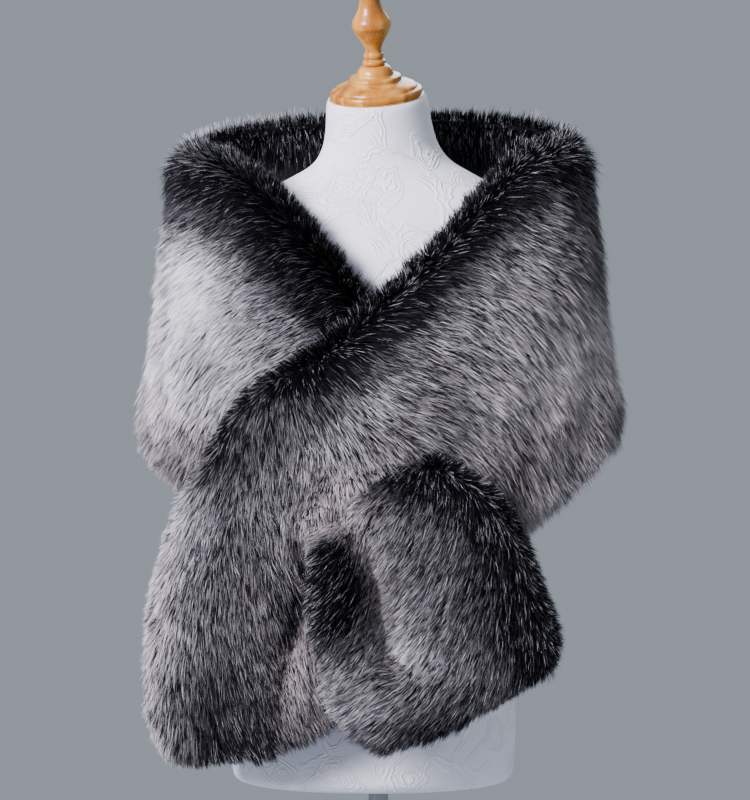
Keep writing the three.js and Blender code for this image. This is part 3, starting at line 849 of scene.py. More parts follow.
# %% The fur's finish
FROSTED_HAIR = 0.03
BLACK_HAIR = 0.11
SATIN_BACK = 0.15
GREY_FROM, GREY_TO = 0.2, 0.8
PINK_FROM, PINK_TO = 0.86, 0.98

fur = Finish("frosted_fur", Roughness=0.55)
fur.shader.inputs["Specular IOR Level"].default_value = 0.06
fur_map = fur.add("ShaderNodeUVMap", {"uv_map": "OFBake"}).outputs["UV"]
fur_axes = fur.add("ShaderNodeSeparateXYZ", Vector=fur_map)
tone, height = fur_axes.outputs["X"], fur_axes.outputs["Y"]
# roots darker than tips: partly the fur's own dark base, partly painted shade deep in the pile
root_colour_and_shade = fur.ramp(
    tone,
    (0.1, (0.003, 0.003, 0.004)),
    (0.2, (0.005, 0.005, 0.006)),
    (0.5, (0.035, 0.033, 0.037)),
    (0.8, (0.42, 0.40, 0.44)),
    (0.86, (0.02, 0.017, 0.018)),
    (0.98, (0.46, 0.40, 0.42)),
)
tip_colour = fur.ramp(
    tone,
    (0.05, (0.56, 0.56, 0.6)),
    (0.07, (0.004, 0.004, 0.006)),
    (0.15, (0.008, 0.007, 0.010)),
    (0.2, (0.03, 0.029, 0.033)),
    (0.5, (0.275, 0.263, 0.287)),
    (0.8, (0.92, 0.90, 0.95)),
    (0.86, (0.05, 0.043, 0.045)),
    (0.98, (0.88, 0.79, 0.81)),
)
toward_tip = fur.ramp(height, (0.25, 0.0), (0.55, 0.38), (0.82, 1.0))
fur_colour = fur.add(
    "ShaderNodeMix", {"data_type": "RGBA"}, _0=toward_tip, _6=root_colour_and_shade, _7=tip_colour
)
fur.feed(Base_Color=fur_colour.outputs[2])
fur.say()

# %% [markdown]
# The colour of real fur of this kind follows the pelt, from black at the upper edge to silver at the hem, and
# is broken up by soft clouds. A few numbers along the width give the first, with soft spots that are darker
# or lighter: some are the fur's own patches, and some are painted light, that is painted shade in the slit
# and its creases and a painted highlight on the pulled end. A seeded noise gives the second. The colour could
# be painted by hand on the mesh, but numbers can be read and changed one by one.

# %% Clouds and patches


def lattice_noise(seed, x, y, size):
    """Smooth noise from -1 to 1: random values on a square lattice, blended between its points
    with 3t^2 - 2t^3."""
    values = np.random.default_rng(seed).uniform(-1, 1, (64, 64))
    column, row = x / size, y / size
    i, j = np.floor(column).astype(int), np.floor(row).astype(int)
    u, v = smoothstep(column - i, 0, 1), smoothstep(row - j, 0, 1)
    low = values[i % 64, j % 64] * (1 - u) + values[(i + 1) % 64, j % 64] * u
    high = values[i % 64, (j + 1) % 64] * (1 - u) + values[(i + 1) % 64, (j + 1) % 64] * u
    return low * (1 - v) + high * v


def patches(along, share, spots):
    """The sum of soft spots, each (along, share, reach along, reach across, amount), as bell
    curves amount exp(-d^2) of the distance d in reaches."""
    total = np.zeros(np.shape(along))
    for a, s, reach_a, reach_s, amount in spots:
        distance = ((along - a) / reach_a) ** 2 + ((share - s) / reach_s) ** 2
        total = total + amount * np.exp(-distance)
    return total


# %% How a pelt is coloured
CLOUDS = ((0.1, 62), (0.08, 23))
PINK_CLOUD = (0.15, 48)
CLOUDED_FROM = 0.4


class Pelt:
    """How one stretch is coloured. Bright and pink are (share, value) profiles across its width,
    and bright turns into bright_end over the range change of along. Spots and pink_spots add
    soft spots to them. Close spots have short hair that lies flat. Frosting is the share of
    silver tips among the dark hairs, rim_frost what the edges add to it along the stretch, and
    ticks the share of black hairs among the light ones across the width."""

    def __init__(self, seed, bright, pink, bright_end=None, change=(0.0, 1.0), spots=(),
                 pink_spots=(), close=(), frosting=0.035, rim_frost=((0, 1), (0.22, 0.22)),
                 ticks=((0.1, 0.3, 1), (0.4, 0.3, 0.15))):
        self.seed, self.frosting, self.rim_frost, self.ticks = seed, frosting, rim_frost, ticks
        self.bright, self.pink = np.array(bright).T, np.array(pink).T
        self.bright_end = self.bright if bright_end is None else np.array(bright_end).T
        self.change, self.spots, self.pink_spots, self.close = change, spots, pink_spots, close

    def brightness(self, along, share, x, y):
        """0 for black and 1 for the lightest silver. Dark places have weaker clouds."""
        late = smoothstep(along, *self.change)
        profile = np.interp(share, *self.bright) * (1 - late)
        profile = profile + np.interp(share, *self.bright_end) * late
        profile = profile + patches(along, share, self.spots)
        clouds = sum(
            amount * lattice_noise(self.seed + k, x, y, size) for k, (amount, size) in enumerate(CLOUDS)
        )
        return profile + clouds * np.clip(profile / CLOUDED_FROM, 0, 1)

    def pinkness(self, along, share, x, y):
        """The share of pinkish hairs."""
        amount, size = PINK_CLOUD
        clouds = amount * lattice_noise(self.seed + len(CLOUDS), x, y, size)
        return np.interp(share, *self.pink) + patches(along, share, self.pink_spots) + clouds


# %% The pelts of the back and the right front
back_pelt = Pelt(
    11,
    bright=[(0, 0.0), (0.1, 0.0), (0.2, 0.3), (0.32, 0.55), (0.6, 0.6), (1, 0.5)],
    pink=[(0, 0), (0.6, 0.05), (1, 0.35)],
    frosting=0.08,
    rim_frost=((0, 1), (0.6, 0.6)),
)
inner_pelt = Pelt(
    61,
    bright=[(0, 0), (1, 0)],
    pink=[(0, 0), (1, 0)],
    frosting=0.07,
    rim_frost=((0, 0.86, 0.95, 1), (0.04, 0.04, 0.4, 0.4)),
)
right_pelt = Pelt(
    21,
    bright=[(0, 0.0), (0.1, 0.0), (0.18, 0.2), (0.27, 0.6), (0.35, 0.77), (0.5, 0.8),
            (0.75, 0.66), (1, 0.42)],
    pink=[(0, 0), (0.5, 0.1), (0.8, 0.35), (1, 0.6)],
    spots=[(0.27, 0.37, 0.1, 0.14, 0.6), (0.2, 0.66, 0.12, 0.14, 0.3), (0.5, 0.33, 0.09, 0.1, -0.2),
           (0.62, 0.16, 0.15, 0.1, -0.3), (0.4, 0.86, 0.12, 0.16, -0.14),
           (0.35, 0.56, 0.07, 0.06, -0.2)],
    rim_frost=((0, 0.2, 0.35, 0.5), (0.42, 0.3, 0.12, 0.04)),
    ticks=((0.12, 0.25, 0.4, 0.7, 1), (0.5, 0.5, 0.45, 0.34, 0.14)),
)

# %% The pelts of the left front and the pulled end
left_pelt = Pelt(
    31,
    bright=[(0, 0.0), (0.07, 0.0), (0.15, 0.22), (0.24, 0.42), (0.5, 0.39), (0.8, 0.36), (1, 0.42)],
    bright_end=[(0, 0.8), (0.1, 0.72), (0.2, 0.47), (0.33, 0.28), (0.6, 0.27), (1, 0.3)],
    change=(0.62, 0.72),
    pink=[(0, 0.05), (0.5, 0.25), (0.8, 0.6), (1, 0.7)],
    # painted shade among these spots: (0.57, 0.49) below the slit's lip, and (0.74, 0.52), (0.7, 0.515) and
    # (0.745, 0.56) along the tail's crease beside the slit
    spots=[(0.36, 0.09, 0.025, 0.03, -0.5), (0.326, 0.13, 0.02, 0.025, -0.5),
           (0.54, 0.08, 0.06, 0.04, 0.2), (0.45, 0.06, 0.05, 0.04, -0.3),
           (0.5, 0.3, 0.09, 0.06, 0.17), (0.37, 0.25, 0.07, 0.06, 0.12),
           (0.53, 0.5, 0.07, 0.1, 0.2), (0.74, 0.52, 0.1, 0.04, -0.2),
           (0.13, 0.63, 0.11, 0.2, 0.6), (0.275, 0.95, 0.06, 0.08, 0.1),
           (0.29, 0.68, 0.07, 0.14, -0.14), (0.6, 0.25, 0.05, 0.1, -0.16),
           (0.64, 0.475, 0.03, 0.022, 0.26), (0.59, 0.425, 0.03, 0.022, 0.22),
           (0.53, 0.425, 0.03, 0.025, 0.2), (0.57, 0.49, 0.05, 0.035, -0.42),
           (0.7, 0.515, 0.05, 0.022, -0.2), (0.745, 0.56, 0.05, 0.022, -0.12),
           (0.99, 0.35, 0.1, 0.4, -0.3), (0.82, 0.66, 0.07, 0.045, 0.16)],
    pink_spots=[(0.55, 0.46, 0.1, 0.1, 0.9), (0.82, 0.64, 0.09, 0.06, 0.9),
                (0.85, 0.1, 0.15, 0.08, 0.45), (0.76, 0.6, 0.12, 0.1, 0.5),
                (0.13, 0.66, 0.12, 0.25, 0.5)],
    close=[(0.64, 0.47, 0.03, 0.035, 0.65), (0.59, 0.425, 0.035, 0.035, 0.65),
           (0.53, 0.425, 0.035, 0.035, 0.6), (0.47, 0.465, 0.035, 0.035, 0.5),
           (0.79, 0.6, 0.08, 0.05, 0.55), (0.88, 0.62, 0.06, 0.05, 0.5)],
    rim_frost=((0, 0.1, 0.2, 0.35, 0.6, 1), (0.3, 0.12, 0.06, 0.08, 0.1, 0.3)),
    ticks=((0.05, 0.15, 0.35, 0.6, 1), (0.3, 0.42, 0.44, 0.22, 0.08)),
)
pulled_pelt = Pelt(
    41,
    bright=[(0, 0.0), (0.16, 0.0), (0.26, 0.22), (0.4, 0.34), (0.7, 0.41), (1, 0.34)],
    pink=[(0, 0), (0.5, 0.1), (1, 0.15)],
    # painted highlight: the spot at (0.66, 0.55) is a light streak down the middle of the pulled end
    spots=[(0.4, 0.87, 0.13, 0.11, -0.95), (0.2, 0.75, 0.07, 0.25, 0.36), (0.58, 0.67, 0.13, 0.06, 0.2),
           (0.4, 0.67, 0.08, 0.05, 0.2), (0.66, 0.55, 0.09, 0.06, 0.5), (0.66, 0.42, 0.14, 0.07, 0.12),
           (0.75, 0.86, 0.12, 0.12, 0.34), (0.72, 0.1, 0.12, 0.1, -0.3), (0.2, 0.2, 0.12, 0.2, -0.3),
           (0.92, 0.66, 0.12, 0.16, -0.24)],
    pink_spots=[(0.5, 0.665, 0.2, 0.06, 0.9), (0.2, 0.75, 0.08, 0.25, 0.8)],
    close=[(0.5, 0.665, 0.17, 0.06, 0.6), (0.2, 0.75, 0.07, 0.25, 0.5)],
    frosting=0.08,
    rim_frost=((0, 1), (0.06, 0.04)),
    ticks=((0.1, 0.35, 0.6, 1), (0.4, 0.35, 0.3, 0.2)),
)
for title, pelt in (("back", back_pelt), ("right front", right_pelt), ("left front", left_pelt)):
    middle_tones = pelt.brightness(np.array([0.2, 0.5, 0.8]), np.full(3, 0.5), np.zeros(3), np.zeros(3))
    print(f"{title}: brightness along the middle {middle_tones.round(2)}")

# %% [markdown]
# The wall is what shows between the hairs: underfur outside, darkened by painted shade, and the black satin
# of the reverse inside. Each point of the outer side takes its tone from the pelt, made darker than the hairs
# as painted shade, so the gaps between locks look deep. The reverse needs no second material, because the
# fur's map keeps one strip for it.

# %% The four walls
UNDERFUR_PAINTED_SHADE = 0.08
UNDERFUR_HEIGHT = 0.25
SATIN_HEIGHT = 0.9
END_CROWDING = 1.6


def wall_piece(name, stretch, pelt, along_steps, across_steps, node):
    """The wall of one stretch, its outer side coloured as underfur darkened by painted shade and its inner
    side as the satin backing."""
    rounded = stretch.to_end[-1] < WALL_INSET
    p = np.linspace(0, 1, along_steps + 1)
    if rounded:
        p = 1 - (1 - p) ** END_CROWDING
    p, q = np.meshgrid(p, toward_edges(across_steps), indexing="ij")
    outer, inner = wall_point(stretch, p, q, 1), wall_point(stretch, p, q, -1)
    points, triangles = wall_between(outer, inner, rounded)
    along, share = wall_place(stretch, p, q)
    bright = pelt.brightness(along, share, along * stretch.length, share * stretch.width(along))
    # painted shade: the underfur's tone is taken below the pelt's brightness, and at the root's height on the
    # map
    tones = GREY_FROM + (GREY_TO - GREY_FROM) * np.clip(bright - UNDERFUR_PAINTED_SHADE, 0, 1)
    shade = np.stack([tones, np.full(tones.shape, UNDERFUR_HEIGHT)], -1).reshape(-1, 2)
    reverse = np.broadcast_to([SATIN_BACK, SATIN_HEIGHT], shade.shape)
    piece = make_mesh(name, points * MM, triangles, np.concatenate([shade, reverse]))
    return dress(piece, fur.material, "fur", node)


back_wall = wall_piece("back_underfur", back, back_pelt, 96, 28, "back_collar")
right_wall = wall_piece("right_front_underfur", right_front, right_pelt, 72, 28, "right_front")
left_wall = wall_piece("left_front_underfur", left_front, left_pelt, 128, 32, "left_front")
pulled_wall = wall_piece("pulled_end_underfur", pulled_end, pulled_pelt, 80, 36, "pulled_end")

# %% [markdown]
# Inside the collar, behind the neck, the satin lining shows. It is a thin closed sheet close to
# the body, on the same strip as the fur that it lines. Satin is smooth and dark with a soft
# sheen, and it pulls into shallow creases where it is sewn to the pelt. The creases are too low
# to change the outline, so they are bump, with a slow ripple in the sheet itself.

# %% Satin
satin = Finish(
    "black_satin", Base_Color=(0.012, 0.011, 0.014, 1), Roughness=0.36, Sheen_Weight=0.3
)
satin_place = satin.place()
crease_place = satin.add("ShaderNodeMapping", Vector=satin_place, Scale=(14.0, 14.0, 5.0))
creases = satin.add(
    "ShaderNodeTexNoise", Vector=crease_place.outputs[0], Scale=1.0, Detail=3.0, Distortion=1.2
)
threads = satin.add("ShaderNodeTexNoise", Vector=satin_place, Scale=1800.0, Detail=1.0)
thread_bump = satin.add("ShaderNodeBump", Strength=0.05, Distance=0.0002, Height=threads.outputs["Fac"])
crease_bump = satin.add(
    "ShaderNodeBump",
    Strength=0.5,
    Distance=0.004,
    Height=creases.outputs["Fac"],
    Normal=thread_bump.outputs["Normal"],
)
satin.feed(Normal=crease_bump.outputs["Normal"])
satin.say()

# %% The lining
LINING_ALONG = (5 / 32, 27 / 32)
LINING_SHARE = (0.107, 0.95)
LINING_LIFT = 2.6
LINING_THICK = 1.6
LINED_WIDTH = 330
RIPPLE_HEIGHT, RIPPLE_SIZE = 0.7, 26
p, q = np.meshgrid(np.linspace(*LINING_ALONG, 97), np.linspace(*LINING_SHARE, 41), indexing="ij")
_, around, z, base, _ = back.at(p, q)
ripple = RIPPLE_HEIGHT * lattice_noise(51, p * back.length, q * LINED_WIDTH, RIPPLE_SIZE)
to_rim = np.minimum(q - LINING_SHARE[0], LINING_SHARE[1] - q) * LINED_WIDTH
rim_in = np.clip(to_rim / LINING_THICK, 0, 1)
half_thick = LINING_THICK / 2 * np.sqrt(1 - (1 - rim_in) ** 2)
lining_middle = base + LINING_LIFT - LINING_THICK / 2 + ripple
lining_points, lining_triangles = wall_between(
    drape_point(around, z, lining_middle + half_thick),
    drape_point(around, z, lining_middle - half_thick),
    rounded_end=False,
)
lining = make_mesh("satin_lining", lining_points * MM, lining_triangles)
dress(lining, satin.material, "satin", "back_lining")

# %% [markdown]
# Each guard hair that the eye sees is really a few of them that lie together, under a millimetre
# wide, so one strand is a narrow kite of two triangles, with a bend in its middle and a point at
# both ends. Strands could also come from Blender's hair, but a plain mesh keeps its shape in
# every export. Its roots are scattered over the wall by area, and closer together at the edges,
# where the wall turns over and the hairs stand out and fan round it.

# %% Edges and scattered roots
NEAR_EDGE = (10, 28)
CROWDED_EDGE = (9, 30)
RIM_DENSITY = 2.2
SCATTER_ROWS, SCATTER_COLUMNS = 161, 60


def edge_distance(stretch, along, share):
    """The way to the nearest edge of the stretch."""
    across_way = np.minimum(share, 1 - share) * stretch.width(along)
    return np.minimum(across_way, stretch.left(along))


def scatter(stretch, count, rng, side, window, hidden):
    """Random places on one side of a wall: cells of a fine grid are drawn by their area, with
    RIM_DENSITY times as many at the edges, and a place is random within its cell."""
    p_edges = np.linspace(0, 1, SCATTER_ROWS)
    q_edges = window[0] + (window[1] - window[0]) * toward_edges(SCATTER_COLUMNS)
    p, q = np.meshgrid(p_edges, q_edges, indexing="ij")
    points = wall_point(stretch, p, q, side)
    down, right = points[1:, :-1] - points[:-1, :-1], points[:-1, 1:] - points[:-1, :-1]
    area = np.linalg.norm(np.cross(down, right), axis=-1)
    middle_p, middle_q = (p[1:, 1:] + p[:-1, :-1]) / 2, (q[1:, 1:] + q[:-1, :-1]) / 2
    places = wall_place(stretch, middle_p, middle_q)
    crowd = 1 + (RIM_DENSITY - 1) * (1 - smoothstep(edge_distance(stretch, *places), *CROWDED_EDGE))
    area = np.where(hidden(*places), 0, area * crowd)
    bars = np.cumsum(area.ravel()) / area.sum()
    cell = np.searchsorted(bars, rng.random(count))
    row, column = np.unravel_index(np.minimum(cell, area.size - 1), area.shape)
    p = p_edges[row] + rng.random(count) * (p_edges[row + 1] - p_edges[row])
    q = q_edges[column] + rng.random(count) * (q_edges[column + 1] - q_edges[column])
    print(f"  {area.sum() / 100:.0f} square cm, {100 * count / area.sum():.0f} strands on each")
    return p, q


# %% Directions on a wall
SLOPE_STEP = 0.002


def unit(vectors):
    """Vectors of length 1."""
    return vectors / np.maximum(np.linalg.norm(vectors, axis=-1, keepdims=True), 1e-9)


def slopes(surface, u, v):
    """The unit vectors along u and along v on a surface, from differences over a small step."""
    u0, u1 = np.clip(u - SLOPE_STEP, 0, 1), np.clip(u + SLOPE_STEP, 0, 1)
    v0, v1 = np.clip(v - SLOPE_STEP, 0, 1), np.clip(v + SLOPE_STEP, 0, 1)
    return unit(surface(u1, v) - surface(u0, v)), unit(surface(u, v1) - surface(u, v0))


def wall_normal(stretch, p, q, side):
    """The unit normal out of a wall's outer or inner side."""
    normal = unit(np.cross(*slopes(lambda u, v: wall_point(stretch, u, v, side), p, q)))
    outward = wall_point(stretch, p, q, side) - np.array([DRAPE_CENTRE, 0, 0])
    outward[:, 2] = 0
    return normal * np.sign(np.median(np.einsum("ij,ij->i", normal, outward))) * side


print("out of the back's middle:", wall_normal(back, np.array([0.5]), np.array([0.5]), 1).round(2))

# %% [markdown]
# Hairs don't lie evenly. They gather in locks, and the hairs of a lock lean the same way, are
# about as long and as bright, and close up toward a common tip. There are large locks and small
# ones within them, and a slow sway turns the nap from place to place. Without the locks the fur
# would look like a brush.

# %% Locks
# size of a lock, most turn in degrees, share of the way to its middle that a tip is drawn
LOCKS = ((15.0, 6, 0.1), (6.0, 7, 0.2))
# most turn in degrees and size of the slow sways
SWAYS = ((9, 45), (5, 16))
LOCK_LENGTHS = (0.9, 1.1)
LOCK_BRIGHTER = 0.08
EDGE_PULL = 0.12
HAIR_TURN = 5


def nearest_lock(x, y, size, rng):
    """Each place's lock: one centre lies at random in every square of a lattice, and the nearest
    of the nine round a place takes it. Gives the way to the centre and the lock's own number."""
    i, j = np.floor(x / size).astype(int), np.floor(y / size).astype(int)
    low_i, low_j = i.min() - 1, j.min() - 1
    shape = (i.max() - low_i + 2, j.max() - low_j + 2)
    centre = rng.uniform(0.1, 0.9, (*shape, 2))
    best = np.full(x.shape, np.inf)
    way = np.zeros((len(x), 2))
    number = np.zeros(len(x), dtype=int)
    for di in (-1, 0, 1):
        for dj in (-1, 0, 1):
            ci, cj = i - low_i + di, j - low_j + dj
            dx = (i + di + centre[ci, cj, 0]) * size - x
            dy = (j + dj + centre[ci, cj, 1]) * size - y
            distance = dx * dx + dy * dy
            nearer = distance < best
            best = np.where(nearer, distance, best)
            way[nearer] = np.stack([dx, dy], 1)[nearer]
            number = np.where(nearer, ci * shape[1] + cj, number)
    return way, number, shape[0] * shape[1]


def lock_habits(x, y, near_edge, seed, rng):
    """The turn, the length, the added brightness and the pull toward the lock's middle of each
    hair. The hairs of a lock share all of them, but for a small turn of each hair's own."""
    turn = sum(
        degrees * lattice_noise(seed + 5 + k, x, y, size) for k, (degrees, size) in enumerate(SWAYS)
    )
    longer, brighter, pull = np.ones(len(x)), np.zeros(len(x)), np.zeros((len(x), 2))
    for size, turn_by, drawn_by in LOCKS:
        way, number, locks = nearest_lock(x, y, size, rng)
        turn = turn + rng.uniform(-turn_by, turn_by, locks)[number]
        longer = longer * rng.uniform(*LOCK_LENGTHS, locks)[number]
        brighter = brighter + rng.uniform(-LOCK_BRIGHTER, LOCK_BRIGHTER, locks)[number]
        pull = pull + (drawn_by + EDGE_PULL * near_edge[:, None]) * way
    return np.radians(turn + rng.normal(0, HAIR_TURN, len(x)))[:, None], longer, brighter, pull


print("small locks to a large one:", round((LOCKS[0][0] / LOCKS[1][0]) ** 2))

# %% [markdown]
# A hair's colour is one place on the fur's map, chosen at random within what the pelt says for
# its root. Light fur is a mix of silver, grey, pinkish and a few black hairs, and black fur has
# a few silver tips. So the mix changes along the pelt, and no hair is a blend of all.

# %% The tone of each hair
HAIR_VARIES = 0.19
DARK_FROM, DARK_TO = 0.03, 0.3
DIM_SHARE = 0.05
DIM_TONES = (0.3, 0.42)


def paint(rng, bright, pink, frosting, ticks):
    """The tone of each strand: a grey or pinkish grey by its brightness, or a black one where it
    is dark. Some dark ones have a silver tip, a few are a dim grey, and a few black hairs are
    among the light ones."""
    count = len(bright)
    level = np.clip(bright, 0, 1)
    grey = GREY_FROM + (GREY_TO - GREY_FROM) * level
    pinkish = PINK_FROM + (PINK_TO - PINK_FROM) * level
    tones = np.where(rng.random(count) < pink, pinkish, grey)
    dark = rng.random(count) > smoothstep(bright, DARK_FROM, DARK_TO)
    frosted = rng.random(count) < frosting
    dim = np.where(rng.random(count) < DIM_SHARE, rng.uniform(*DIM_TONES, count), BLACK_HAIR)
    tones = np.where(dark, np.where(frosted, FROSTED_HAIR, dim), tones)
    return np.where(~dark & (rng.random(count) < ticks), BLACK_HAIR, tones)


def hair_tones(pelt, along, share, x, y, near_edge, close, brighter, rng):
    """What the pelt says, with each hair's own share of chance. The lightest fur has the fewest
    black hairs, and close hair is the most even."""
    bright = pelt.brightness(along, share, x, y)
    own = (brighter + rng.normal(0, HAIR_VARIES, len(x))) * np.clip(bright / CLOUDED_FROM, 0, 1)
    bright = bright + own * (1 - close)
    pink = pelt.pinkness(along, share, x, y)
    frosting = pelt.frosting + near_edge * np.interp(along, *pelt.rim_frost)
    ticks = np.interp(share, *pelt.ticks) * np.clip(1.9 - 1.3 * bright, 0.1, 1) * (1 - close)
    return paint(rng, bright, pink, frosting, ticks)


tried = paint(np.random.default_rng(1), np.full(1000, 0.5), 0.2, 0.1, 0.3)
print("of 1000 hairs of middle grey fur,", int((tried == BLACK_HAIR).sum()), "are black")

# %% [markdown]
# The nap is the way that hairs lie. It acts on a hair like a force: a pull along the strip, one
# down and one sideways. Only its part in the wall's surface bends the hair over, and where that
# part is weak, as at an edge where the wall turns away, the hair stands up.

# %% How the nap bends a hair
STRONG_NAP = 0.8
UPRIGHT = 85
# degrees that the edges add to the two halves of a hair, and the spread of its own angles
EDGE_LIFT = (5, 18)
RISE_VARIES = 6


def lean_on_nap(nap, axes, along, share, normal, turn):
    """The way that each hair leans, and how strongly, from 0 to 1: the force toward the hem,
    sideways and down, less its part along the normal, and turned about the normal."""
    toward, down, sideways = (np.broadcast_to(w, along.shape)[:, None] for w in nap(along, share))
    e_along, e_hem = axes
    force = toward * e_hem + sideways * e_along + down * np.array([0, 0, -1.0])
    force = force - normal * np.einsum("ij,ij->i", force, normal)[:, None]
    strength = np.clip(np.linalg.norm(force, axis=1) / STRONG_NAP, 0, 1)
    lean = unit(force)
    return lean * np.cos(turn) + np.cross(normal, lean) * np.sin(turn), strength


def rise_angles(rise, near_edge, strength, rng):
    """The angle of each half of a hair from the wall: its rise, or UPRIGHT where the nap is
    weak, as a column."""
    for angle, lifted in zip(rise, EDGE_LIFT):
        degrees = UPRIGHT - (UPRIGHT - angle - lifted * near_edge) * strength
        yield np.radians(degrees + rng.normal(0, RISE_VARIES, len(near_edge)))[:, None]


lying, standing = rise_angles((60.0, 19.0), np.zeros(1), np.ones(1), np.random.default_rng(1))
print("a hair's halves rise by", np.degrees([lying, standing]).ravel().round(), "degrees")

# %% [markdown]
# Now the strands of a stretch can grow. Each is a kite of two triangles: from a root just below
# the underfur, through a bend that is its widest place, to a tip. Its blade is rolled by chance,
# so that some strands show their face and some their edge, and the fur glitters.

# %% Grow the strands
STRAND_WIDE = 0.64
STRIP_HALF = 0.002
ROOT_DEPTH = 4
CLOSEST = 0.7
# how much shorter hairs are at the upper edge and at the hem, and the spread of their lengths
EDGE_SHORTER = (0.36, 0.15)
HAIR_LENGTHS = (0.75, 1.2)
MOST_ROLL = 40
HAIR_WIDTHS = (0.3, 0.6)
FROSTED_WIDTH = 0.6
EDGE_WIDER = 0.35
# shares of the pull that the middle and the tip follow, and the map's heights up a strand
MIDDLE_DRAWN, TIP_DRAWN = 0.4, 0.6
MAP_HEIGHTS = (0.03, 0.5, 0.5, 0.97)


def nothing_hidden(along, share):
    return np.zeros(np.shape(along), dtype=bool)


def grow(name, stretch, pelt, count, seed, nap, side=1, window=(0.0, 1.0), hidden=nothing_hidden,
         length=27.0, rise=(60.0, 19.0)):
    """A mesh of strands. A strand starts at its root P0, has length L and leans toward F. Its
    first half leaves the wall at the first angle of rise, a, and its second half at the second:
    P1 = P0 + L/2 (F cos a + normal sin a), and P2 follows from P1 in the same way. Hairs are
    shorter near the edges and in close spots. The tip is drawn toward the middle of its lock."""
    rng = np.random.default_rng(seed)
    p, q = scatter(stretch, count, rng, side, window, hidden)
    along, share = wall_place(stretch, p, q)
    point, normal = wall_point(stretch, p, q, side), wall_normal(stretch, p, q, side)
    e_along, e_hem = slopes(lambda u, v: stretch.at(u, v)[0], along, share)
    x, y = along * stretch.length, share * stretch.width(along)
    near_edge = 1 - smoothstep(edge_distance(stretch, along, share), *NEAR_EDGE)
    close = np.clip(patches(along, share, pelt.close), 0, CLOSEST)

    turn, longer, brighter, pull = lock_habits(x, y, near_edge, seed, rng)
    lean, strength = lean_on_nap(nap, (e_along, e_hem), along, share, normal, turn)
    first, second = rise_angles(rise, near_edge, strength, rng)
    shorter = np.where(share < 0.5, *EDGE_SHORTER) * near_edge
    half = 0.5 * length * longer * (1 - shorter) * (1 - close) * rng.uniform(*HAIR_LENGTHS, count)
    half = half[:, None]
    drawn = pull[:, :1] * e_along + pull[:, 1:] * e_hem
    middle = point + half * (lean * np.cos(first) + normal * np.sin(first)) + MIDDLE_DRAWN * drawn
    tip = middle + half * (lean * np.cos(second) + normal * np.sin(second)) + TIP_DRAWN * drawn

    roll = np.radians(rng.uniform(-MOST_ROLL, MOST_ROLL, count))[:, None]
    way = unit(tip - point)
    flat = unit(np.cross(way, normal))
    wide = flat * np.cos(roll) + np.cross(way, flat) * np.sin(roll)
    tones = hair_tones(pelt, along, share, x, y, near_edge, close, brighter, rng)
    finer = np.where(tones == FROSTED_HAIR, FROSTED_WIDTH, 1.0)
    finer = finer * (1 + EDGE_WIDER * near_edge) * rng.uniform(*HAIR_WIDTHS, count)
    side_way = wide * finer[:, None] * STRAND_WIDE
    strand = np.stack([point - ROOT_DEPTH * normal, middle - side_way, middle + side_way, tip], 1)
    around = tones[:, None] + STRIP_HALF * np.array([0, -1, 1, 0])
    up = np.broadcast_to(MAP_HEIGHTS, around.shape)
    order = np.array([[0, 2, 1], [1, 2, 3]])
    triangles = (np.arange(count)[:, None, None] * 4 + order).reshape(-1, 3)
    uv = np.stack([around, up], -1).reshape(-1, 2)
    piece = make_mesh(name, strand.reshape(-1, 3) * MM, triangles, uv, closed=False)
    return dress(piece, fur.material, "fur")


# %% [markdown]
# Where one stretch lies on another, no hair is grown below it: a place is hidden if it is inside
# the outline of the stretch above, drawn a little smaller. Hairs that are buried could be left
# in, but they would poke through the stretch above. The outline is a polygon over angle and
# height, and a ray that leaves a hidden place crosses it an odd number of times.

# %% What lies under another stretch
OUTLINE_STEPS = 90


def outline(stretch, inset, start=0.0, end=1.0):
    """The polygon of angle and height round a stretch, set in from its long edges."""
    forward = np.linspace(start, end, OUTLINE_STEPS)
    low, high = np.full(OUTLINE_STEPS, inset), np.full(OUTLINE_STEPS, 1 - inset)
    _, around, z, _, _ = stretch.at(
        np.concatenate([forward, forward[::-1]]), np.concatenate([low, high])
    )
    return np.stack([around, z], 1)


def inside(polygon, around, z):
    """Whether each place is inside, by counting the edges that a level ray crosses."""
    crossed = np.zeros(np.shape(z), dtype=bool)
    for (a0, z0), (a1, z1) in zip(polygon, np.roll(polygon, -1, axis=0)):
        spans = (z0 > z) != (z1 > z)
        if spans.any():
            reached = a0 + (z - z0) / (z1 - z0) * (a1 - a0)
            crossed ^= spans & (around < reached)
    return crossed


over_right = outline(left_front, 0.045)
over_left = outline(pulled_end, 0.06, start=0.2, end=0.94)


def under_left_front(along, share):
    _, around, z, _, _ = right_front.at(along, share)
    return inside(over_right, around, z)


def under_pulled_end(along, share):
    _, around, z, _, _ = left_front.at(along, share)
    return inside(over_left, around, z)


print("left front's middle under the pulled end:", under_pulled_end(np.array([0.5, 0.8]), np.full(2, 0.5)))


# %% [markdown]
# On a worn stole the hairs point out at the upper edge, then away from it round the shoulder,
# and hang down toward the hem. The two fronts are combed back to the sides, the tail hangs and
# fans out, and the pulled end sweeps toward the lower left. Each nap gives three forces, toward
# the hem, down and along the strip, at every place.

# %% The nap of each stretch


def shoulder_nap(along, share):
    """Outward at the very edge, then away from it and a little back to the shoulder, and more
    and more downward."""
    toward = np.interp(share, [0.03, 0.06, 0.12, 0.35, 1], [0.0, 0.4, 0.9, 0.9, 0.7])
    down = np.interp(share, [0.1, 0.3, 0.6, 1], [0.0, 0.1, 0.35, 0.7])
    return toward, down, np.interp(share, [0.03, 0.08, 0.3, 0.8], [-0.05, -0.22, -0.3, -0.05])


